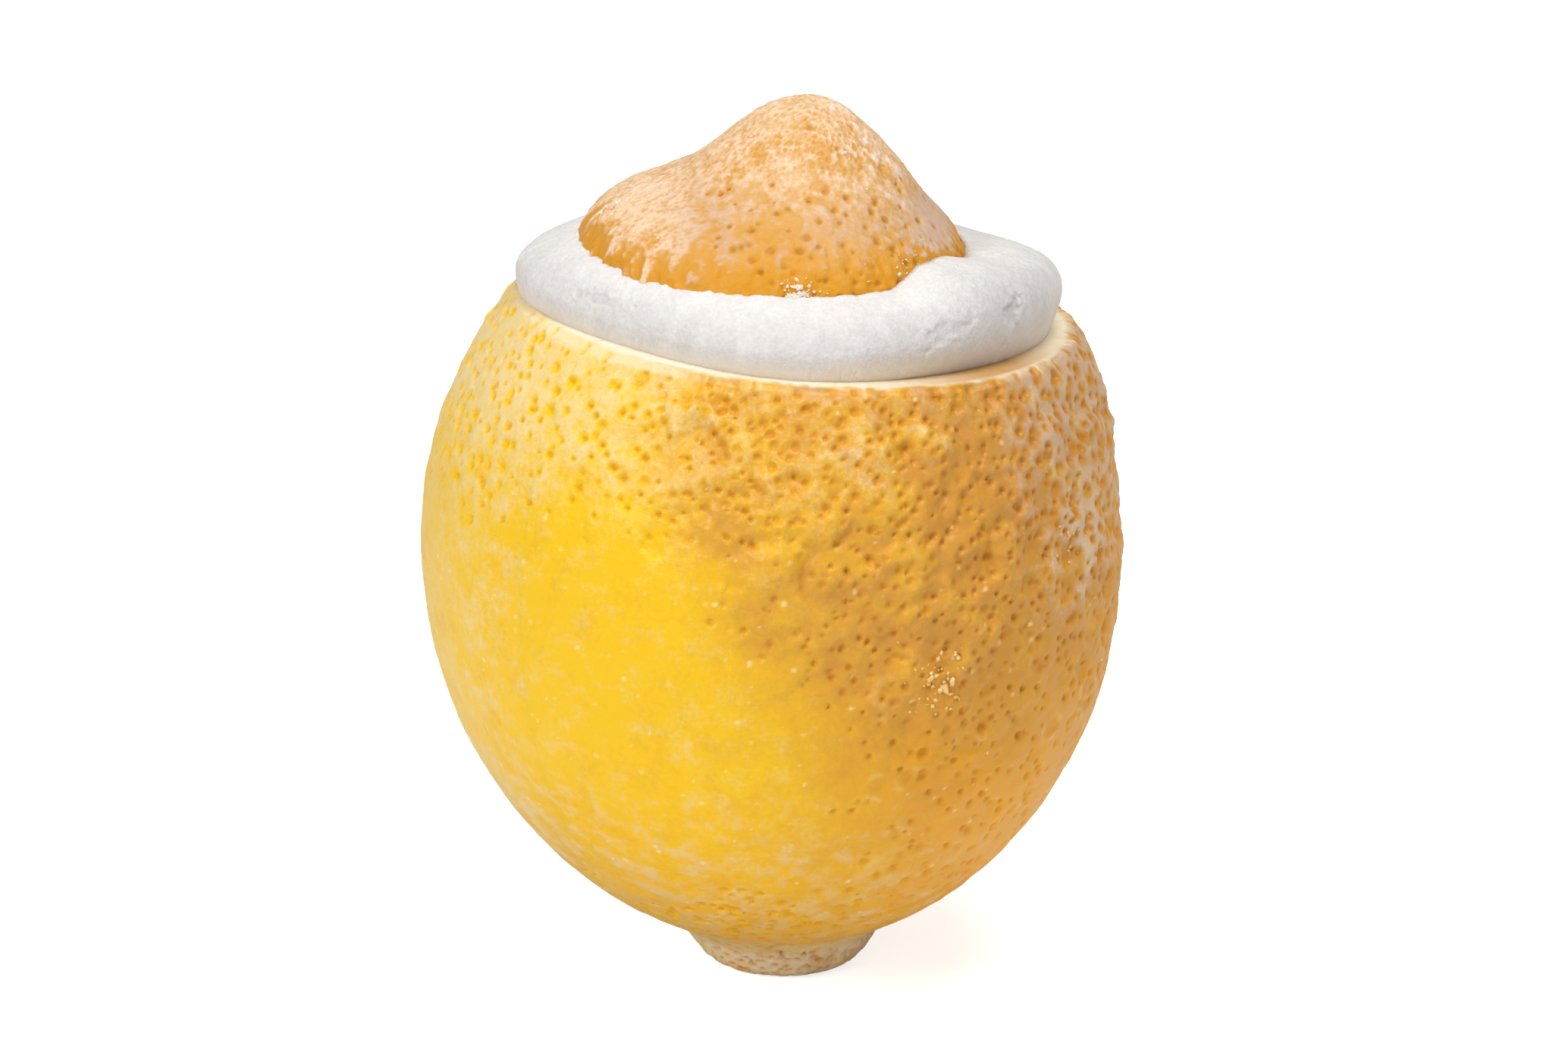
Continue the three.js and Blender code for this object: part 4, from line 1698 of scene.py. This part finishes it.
@dataclass
class SorbetFill:
    """The sorbet: it fills the shell, rests on the rim, swells out, and laps up against the cap."""

    fruit: Fruit
    cap: LemonCap
    gap: float = 0.3
    spread_radius: float = 24.6
    spread_x: float = 0.6
    spread_y: float = 1.0
    swell_share: float = 0.37
    swell_right: float = -0.03
    swell_back: float = 0.7
    swell_back_fade: Fade = Fade(-0.35, 0.9)
    swell_power: float = 0.85
    swell_square: float = 0.42
    swell_lean: float = 0.55
    swell_lift: float = 0.75
    swell_waves: tuple[Wave, ...] = (Wave(3, 0.4, 0.06), Wave(7, 1.9, 0.03))
    lap: float = 0.008
    lap_right: float = 0.03
    fold: float = 0.055
    fold_begins: Fade = Fade(-56.0, -38.0)
    fold_ends: Fade = Fade(-8.0, -30.0)
    crumb: float = 0.004
    crumb_fade: Fade = Fade(0.86, 1.0)
    tuck: float = 1.8
    tuck_angle: float = -45.0
    tuck_width: float = 0.7
    drawn_in: float = 2.2
    drawn_angle: float = -128.0
    drawn_width: float = 0.55
    drawn_flatter: float = 0.2
    square_angle: float = -12.0
    square: Fade = Fade(0.2, 0.95)
    square_lean: float = 0.12
    rough_angle: float = -38.0
    rough_width: float = 0.5
    spill: float = 1.6
    bedded: float = 0.05
    sag: float = 2.0
    sunk: float = 1.0
    free_length: float = 12.0
    columns: int = 900
    cavity_rows: int = 8
    swell_rows: int = 84
    recess_rows: int = 5
    spoon_marks: tuple[SpoonMark, ...] = (
        SpoonMark(-32.0, 0.2, 2.0, 1.0, 0.35, 0.7),
        SpoonMark(-52.0, 0.26, 3.2, 1.3, 0.14, 0.4),
        SpoonMark(-140.0, 0.5, 4.0, 1.0, 0.12, 0.2),
        SpoonMark(60.0, 0.45, 2.6, 0.8, 0.25, 0.3),
        SpoonMark(120.0, 0.4, 3.4, 0.8, 0.2, -0.3),
        SpoonMark(15.0, 0.45, 2.4, 0.9, 0.2, 0.5),
    )

    def swell_at(self, angle: Array) -> Array:
        """Swelling at an angle, as a share of the straight way from the cut to the cap.

        It changes a little from left to right, is uneven by waves, and is less at the back by a smooth step.

        Args:
            angle: Angles round the axis.

        Returns:
            Shares at those angles.
        """
        uneven = 1.0 + sum(wave.at(angle) for wave in self.swell_waves)
        back = 1.0 - self.swell_back * self.swell_back_fade.at(np.sin(angle))
        return (self.swell_share + self.swell_right * np.cos(angle)) * uneven * back

    def lap_share(self, angle: Array) -> Array:
        """Share of the cap's radius at which the sorbet ends: near the edge, higher up on the right.

        A fold of sorbet at the front right climbs the cap a little more.

        Args:
            angle: Angles round the axis.

        Returns:
            Shares from 0 at the tip to 1 at the edge.
        """
        turn = np.degrees(angle)
        fold = self.fold * self.fold_begins.at(turn) * self.fold_ends.at(turn)
        return 1.0 - self.lap - self.lap_right * ((1.0 + np.cos(angle)) / 2.0) ** 2 - fold

    def crumbs(self, angle: Array) -> Array:
        """Uneven part of the edge on the cap, as a share of the cap's radius, from noise round the edge."""
        ring = np.stack([np.cos(angle), np.sin(angle), 0.0 * angle], -1) * self.cap.radius
        return self.crumb * (layered_noise(ring, 0.9, 61) + layered_noise(ring, 5.0, 62))

    def build(self, material: Material) -> None:
        """Lays the sorbet out from the cavity's floor to the recess under the cap, and makes its piece.

        Args:
            material: Finish of the sorbet.
        """
        fruit, cap = self.fruit, self.cap
        angle = -np.pi + TURN * np.arange(self.columns) / self.columns
        inset = fruit.wall + self.gap
        cavity = fruit.hollow_rings(angle, inset, self.cavity_rows)[::-1]
        swelling, marks = self.swelling(angle)
        lap = self.lap_share(angle) - self.crumbs(angle)
        down = np.linspace(0.0, 1.0, self.recess_rows + 1)[1:, None]
        recess = cap.to_world(cap.skin(lap + (1.0 - lap) * down, angle[None, :]))
        rings = np.concatenate([cavity, swelling, recess])
        more = ((self.cavity_rows, self.recess_rows), (0, 0))
        full = {name: np.pad(values, more, "edge") for name, values in marks.items()}
        surface = stacked_surface(rings, fruit.floor_middle(inset), np.array(cap.middle), full)
        surface.to_piece("sorbet_fill", material, "sorbet", "sorbet")

    def swelling(self, angle: Array) -> tuple[Array, Marks]:
        """Free surface from the rim to the cap, with its relief.

        Each point lies on the straight way from the rim to the cap, moved out and lifted by the swelling
        times a leaning sine, whose power is less on the right so that the sorbet is squarer there. The foot
        is tucked in at the front right and drawn in at the front left, where the rim shows, and what comes
        near the cut settles on it.

        Args:
            angle: Angles of the columns.

        Returns:
            Places, rows by columns, and the marks by name.
        """
        fruit, cap = self.fruit, self.cap
        share = np.linspace(0.0, 1.0, self.swell_rows)[:, None]
        outward = np.stack([np.cos(angle), np.sin(angle)], -1)
        front_right = bell(angle, math.radians(self.tuck_angle), self.tuck_width)
        front_left = bell(angle, math.radians(self.drawn_angle), self.drawn_width)
        reach = self.spread_radius + self.spill - self.tuck * front_right - self.drawn_in * front_left
        x = self.spread_x + reach * outward[:, 0]
        y = self.spread_y + reach * outward[:, 1]
        start = np.stack([x, y, fruit.cut_at(x, y) - self.bedded], -1)
        end = cap.to_world(cap.skin(self.lap_share(angle), angle))
        crumbs = cap.to_world(cap.skin(self.lap_share(angle) - self.crumbs(angle), angle)) - end
        rise = end[:, 2] - start[:, 2]
        inward = ((start - end)[:, :2] * outward).sum(-1)
        boxy = self.square.at(np.cos(angle - math.radians(self.square_angle)))
        power = self.swell_power - self.swell_square * boxy
        lean = self.swell_lean + self.square_lean * boxy
        swell = self.swell_at(angle) * (1.0 - self.drawn_flatter * front_left)
        bulge = swell * np.sin(np.pi * share**lean) ** power
        lift = self.swell_lift + (2.0 * np.sqrt(1.0 - share) - self.swell_lift) * boxy
        places = start + share[..., None] * (end - start)
        places[..., :2] += (bulge * rise)[..., None] * outward
        places[..., 2] += lift * bulge * inward
        places += self.crumb_fade.at(share)[..., None] * crumbs
        rim = fruit.cut_at(places[..., 0], places[..., 1])
        over = places[..., 2] - rim
        rest = smooth_share(over, 0.0, self.sag)
        settled = over * rest - self.sunk * (1.0 - rest)
        places[..., 2] = rim + over + (1.0 - 0.5 * front_right) * (settled - over)
        normals = grid_normals(places)
        relief, marks = self.dress(places, angle, share)
        places = places + relief[..., None] * normals
        return places, marks

    def dress(self, places: Array, angle: Array, share: Array) -> tuple[Array, Marks]:
        """Relief and marks of the free surface: slow lumps, upright streaks, fine grain, spoon marks and
        painted shade.

        Args:
            places: Places, rows by columns.
            angle: Angles of the columns.
            share: Share of the way up, one for each row.

        Returns:
            Relief in mm, and the marks by name.
        """
        open_part = np.sin(np.pi * share) ** 0.6
        slow = layered_noise(places, 7.0, 71)
        streak = layered_noise(places * np.array([1.0, 1.0, 0.12]), 1.6, 72)
        grain = layered_noise(places, 0.8, 73, 2)
        rough = bell(angle, math.radians(self.rough_angle), self.rough_width) * smooth_share(share, 0.62, 0.2)
        relief = (0.1 * slow + 0.006 * streak + (0.05 + 0.09 * rough) * grain) * open_part
        hollow = np.zeros_like(relief)
        for mark in self.spoon_marks:
            across = (angle - math.radians(mark.angle)) * self.spread_radius
            upward = (share - mark.share) * self.free_length
            along = across * math.cos(mark.turn) + upward * math.sin(mark.turn)
            aside = upward * math.cos(mark.turn) - across * math.sin(mark.turn)
            away = np.hypot(along / mark.long, aside / mark.wide) + 0.9 * grain
            bowl = smooth_share(away, 1.15, 0.45)
            lip = bell(away, 1.3, 0.28) * smooth_share(aside / mark.wide, 0.2, -0.8)
            relief += mark.depth * (0.3 * lip - bowl)
            hollow = np.maximum(hollow, bowl * min(1.0, 2.0 * mark.depth))
        lit = smooth_share(share + 0.02 * slow, 0.2, 0.0)
        front = smooth_share(np.sin(angle), 0.2, -0.5)
        # Painted shade: the lower front is greyed, and the spoon hollows and the rough patch are greyed
        # through the mark hollow.
        shaded = front * smooth_share(share + 0.05 * slow, 0.9, 0.35)
        marks = {
            "hollow": np.clip(0.7 * hollow + 0.3 * rough + 0.5 * shaded, 0.0, 1.0),
            "juice": 0.75 * lit * (1.0 - 0.7 * rough),
        }
        return relief, marks


@dataclass(frozen=True)
class IceLot:
    """One lot of ice grains: the piece, how many grains, its slot, its solid, its seed, and where they lie.

    The chance of a grain is even over the surface, plus the weighted masks of the clusters.
    """

    name: str
    count: int
    slot: str
    node: str
    seed: int
    even: float
    clusters: tuple[Mound, ...]

    def chance(self, places: Array) -> Array:
        """Relative chance of a grain at each place.

        Args:
            places: Places in mm.

        Returns:
            Chances, which need not add up to one.
        """
        total = np.full(len(places), self.even)
        for cluster in self.clusters:
            total += cluster.weight * cluster.at(places)
        return total


@dataclass
class IceGrains:
    """Loose grains of ice on the peel: small five-sided crystals, turned at random, in clusters or strewn."""

    shell: PeelShell
    cap: LemonCap
    sides: int = 5
    size: float = 0.115
    size_vary: float = 0.4
    stretch_vary: float = 0.25
    stand_out: float = 0.35
    lowest: float = 1.0
    on_peel: IceLot = IceLot(
        name="ice_on_peel",
        count=90,
        slot="peel",
        node="lemon_shell",
        seed=7,
        even=0.0006,
        clusters=(
            Mound((15.0, -31.0, 40.5), 3.0, 3.0),
            Mound((20.0, -25.0, 32.0), 4.0, 0.15),
            Mound(CLUMP_MIDDLE, 4.5, 0.6),
            Mound((22.0, -21.0, 58.0), 8.0, 0.03),
        ),
    )
    on_cap: IceLot = IceLot(
        name="ice_on_cap",
        count=200,
        slot="frosted_peel",
        node="lemon_cap",
        seed=8,
        even=0.004,
        clusters=(
            Mound((1.4, -19.6, 75.8), 1.3, 9.0),
            Mound((13.0, -13.5, 76.5), 2.0, 0.8),
            Mound((-16.0, -4.8, 80.8), 1.6, 0.6),
        ),
    )

    def crystal(self) -> tuple[Array, Array]:
        """Corners and faces of one crystal: a ring of corners between two points.

        Returns:
            Corners of a crystal of unit size, and its faces.
        """
        turn = TURN * np.arange(self.sides) / self.sides
        ring = np.stack([np.cos(turn), np.sin(turn), 0.25 * np.cos(2.0 * turn)], -1)
        corners = np.concatenate([ring, [[0.1, 0.0, 1.0]], [[0.0, 0.1, -0.9]]])
        here = np.arange(self.sides)
        after = (here + 1) % self.sides
        up = np.stack([here, after, np.full(self.sides, self.sides)], 1)
        down = np.stack([after, here, np.full(self.sides, self.sides + 1)], 1)
        return corners, np.concatenate([up, down])

    def build(self, shell_ice: Material, cap_ice: Material) -> None:
        """Scatters the grains over the shell and the cap, and joins each lot into one piece.

        Args:
            shell_ice: Finish of the grains on the shell.
            cap_ice: Finish of the grains on the cap.
        """
        first = self.shell.foot_rows
        last = first + self.shell.skin_rows
        self.scatter(self.on_peel, self.shell.grid[first:last], self.shell.normals[first:last], shell_ice)
        self.scatter(self.on_cap, self.cap.grid, self.cap.normals, cap_ice)

    def scatter(self, lot: IceLot, grid: Array, grid_directions: Array, material: Material) -> None:
        """Places crystals at random points of a surface, partly sunk into it.

        Args:
            lot: The lot of grains.
            grid: Points to choose from, rows by columns.
            grid_directions: Unit normals there.
            material: Finish of the ice.
        """
        places = grid.reshape(-1, 3)
        normals = grid_directions.reshape(-1, 3)
        weight = lot.chance(places) * (places[:, 2] > self.lowest)
        count = lot.count
        draw = np.random.default_rng(lot.seed)
        chosen = draw.choice(len(places), count, replace=False, p=weight / weight.sum())
        corners, faces = self.crystal()
        turns, _ = np.linalg.qr(draw.normal(size=(count, 3, 3)))
        turns[np.linalg.det(turns) < 0.0] *= -1.0
        crowd = (weight[chosen] / weight.max())[:, None, None]
        sizes = self.size * (1.0 + crowd) * np.exp(self.size_vary * draw.normal(size=(count, 1, 1)))
        stretch = np.exp(self.stretch_vary * draw.normal(size=(count, 1, 3)))
        local = np.einsum("gij,gkj->gki", turns, corners[None] * stretch) * sizes
        middle = places[chosen] + normals[chosen] * sizes[:, 0] * self.stand_out
        points = (local + middle[:, None]).reshape(-1, 3)
        triangles = (faces[None] + len(corners) * np.arange(count)[:, None, None]).reshape(-1, 3)
        across = math.ceil(math.sqrt(len(triangles)))
        cell = np.arange(len(triangles))
        corner = np.stack([cell % across, cell // across], -1)[:, None, :]
        shape = np.array([[0.1, 0.1], [0.9, 0.1], [0.1, 0.9]])[None]
        none = np.zeros((0, 4), int)
        surface = Surface(points, none, triangles, np.zeros((0, 4, 2)), (corner + shape) / across)
        piece = surface.to_piece(lot.name, material, lot.slot, lot.node)
        piece.data.polygons.foreach_set("use_smooth", np.zeros(len(triangles), bool))


@dataclass(frozen=True)
class Lamp:
    """Square soft lamp: name, place in metres, side in metres, and power in watts."""

    name: str
    place: Triple
    side: float
    power: float


@dataclass
class Studio:
    """White floor, even surroundings, soft lamps left, overhead and low at the right, and the camera."""

    aim: Triple = (0.00008, 0.0, 0.04616)
    distance: float = 0.9
    elevation: float = 19.0
    lens: float = 206.6
    sensor: float = 36.0
    clip_start: float = 0.01
    floor_half: float = 4.0
    floor_colour: Colour = (0.85, 0.85, 0.85, 1.0)
    floor_glow: float = 0.72
    floor_rough: float = 0.9
    around: float = 0.3
    lamps: tuple[Lamp, ...] = (
        Lamp("key", (-0.6, -0.62, 0.56), 0.25, 4.35),
        Lamp("overhead", (0.25, -0.1, 1.05), 0.5, 6.9),
        Lamp("fill", (0.6, -0.75, 0.06), 0.4, 1.3),
    )

    def build(self) -> None:
        """Makes the floor, the light and the camera, and shows colours as they are."""
        self.make_floor()
        self.make_light()
        self.make_camera()
        view = bpy.context.scene.view_settings
        view.view_transform = "Standard"
        view.look = "None"

    def make_floor(self) -> None:
        """Flat pale floor under the foot, with a glow that only the camera sees, so that it stays white."""
        half = self.floor_half
        mesh = bpy.data.meshes.new("floor")
        corners = [(-half, -half, 0.0), (half, -half, 0.0), (half, half, 0.0), (-half, half, 0.0)]
        mesh.from_pydata(corners, [], [(0, 1, 2, 3)])
        material, tree = new_material("floor")
        seen = tree.add("ShaderNodeLightPath").outputs["Is Camera Ray"]
        inputs = {
            "Base Color": self.floor_colour,
            "Roughness": self.floor_rough,
            "Specular IOR Level": 0.0,
            "Emission Color": WHITE,
            "Emission Strength": tree.sum(seen, self.floor_glow, "MULTIPLY"),
        }
        surface = tree.add("ShaderNodeBsdfPrincipled", inputs)
        tree.add("ShaderNodeOutputMaterial", {"Surface": surface.outputs["BSDF"]})
        mesh.materials.append(material)
        floor = bpy.data.objects.new("floor", mesh)
        bpy.context.scene.collection.objects.link(floor)

    def make_light(self) -> None:
        """Even white surroundings and the soft lamps."""
        world = bpy.data.worlds.new("surroundings")
        world.use_nodes = True
        tree = Tree(world.node_tree)
        sky = tree.add("ShaderNodeBackground", {"Color": WHITE, "Strength": self.around})
        tree.add("ShaderNodeOutputWorld", {"Surface": sky.outputs["Background"]})
        bpy.context.scene.world = world
        for lamp in self.lamps:
            light = bpy.data.lights.new(lamp.name, "AREA")
            light.size = lamp.side
            light.energy = lamp.power
            holder = bpy.data.objects.new(lamp.name, light)
            holder.location = lamp.place
            holder.rotation_mode = "QUATERNION"
            holder.rotation_quaternion = (Vector(self.aim) - Vector(lamp.place)).to_track_quat("-Z", "Y")
            bpy.context.scene.collection.objects.link(holder)

    def make_camera(self) -> None:
        """Camera in front, above the dessert by the elevation, looking at the aim."""
        lens = bpy.data.cameras.new("camera")
        lens.lens = self.lens
        lens.sensor_width = self.sensor
        lens.clip_start = self.clip_start
        camera = bpy.data.objects.new("camera", lens)
        tip = math.radians(self.elevation)
        back = Vector((0.0, -math.cos(tip), math.sin(tip)))
        camera.location = Vector(self.aim) + self.distance * back
        camera.rotation_mode = "QUATERNION"
        camera.rotation_quaternion = (-back).to_track_quat("-Z", "Y")
        bpy.context.scene.collection.objects.link(camera)
        bpy.context.scene.camera = camera


def main() -> None:
    """Builds the shell, the cap, the sorbet, the ice and the studio."""
    logging.basicConfig(level=logging.INFO, format="%(name)s %(message)s")
    frost, grain = frost_group(), grain_group()
    ice = IceFinish("ice").make(grain)
    juicy_ice = IceFinish("juicy_ice", srgb(246, 216, 150), srgb(236, 184, 88)).make(grain)
    fruit = Fruit()
    shell = PeelShell(fruit)
    shell.build(PeelFinish().make(frost, grain))
    cap = LemonCap()
    cap.build(CapFinish().make(frost, grain))
    SorbetFill(fruit, cap).build(SorbetFinish().make(grain))
    IceGrains(shell, cap).build(juicy_ice, ice)
    Studio().build()


if __name__ == "__main__":
    main()
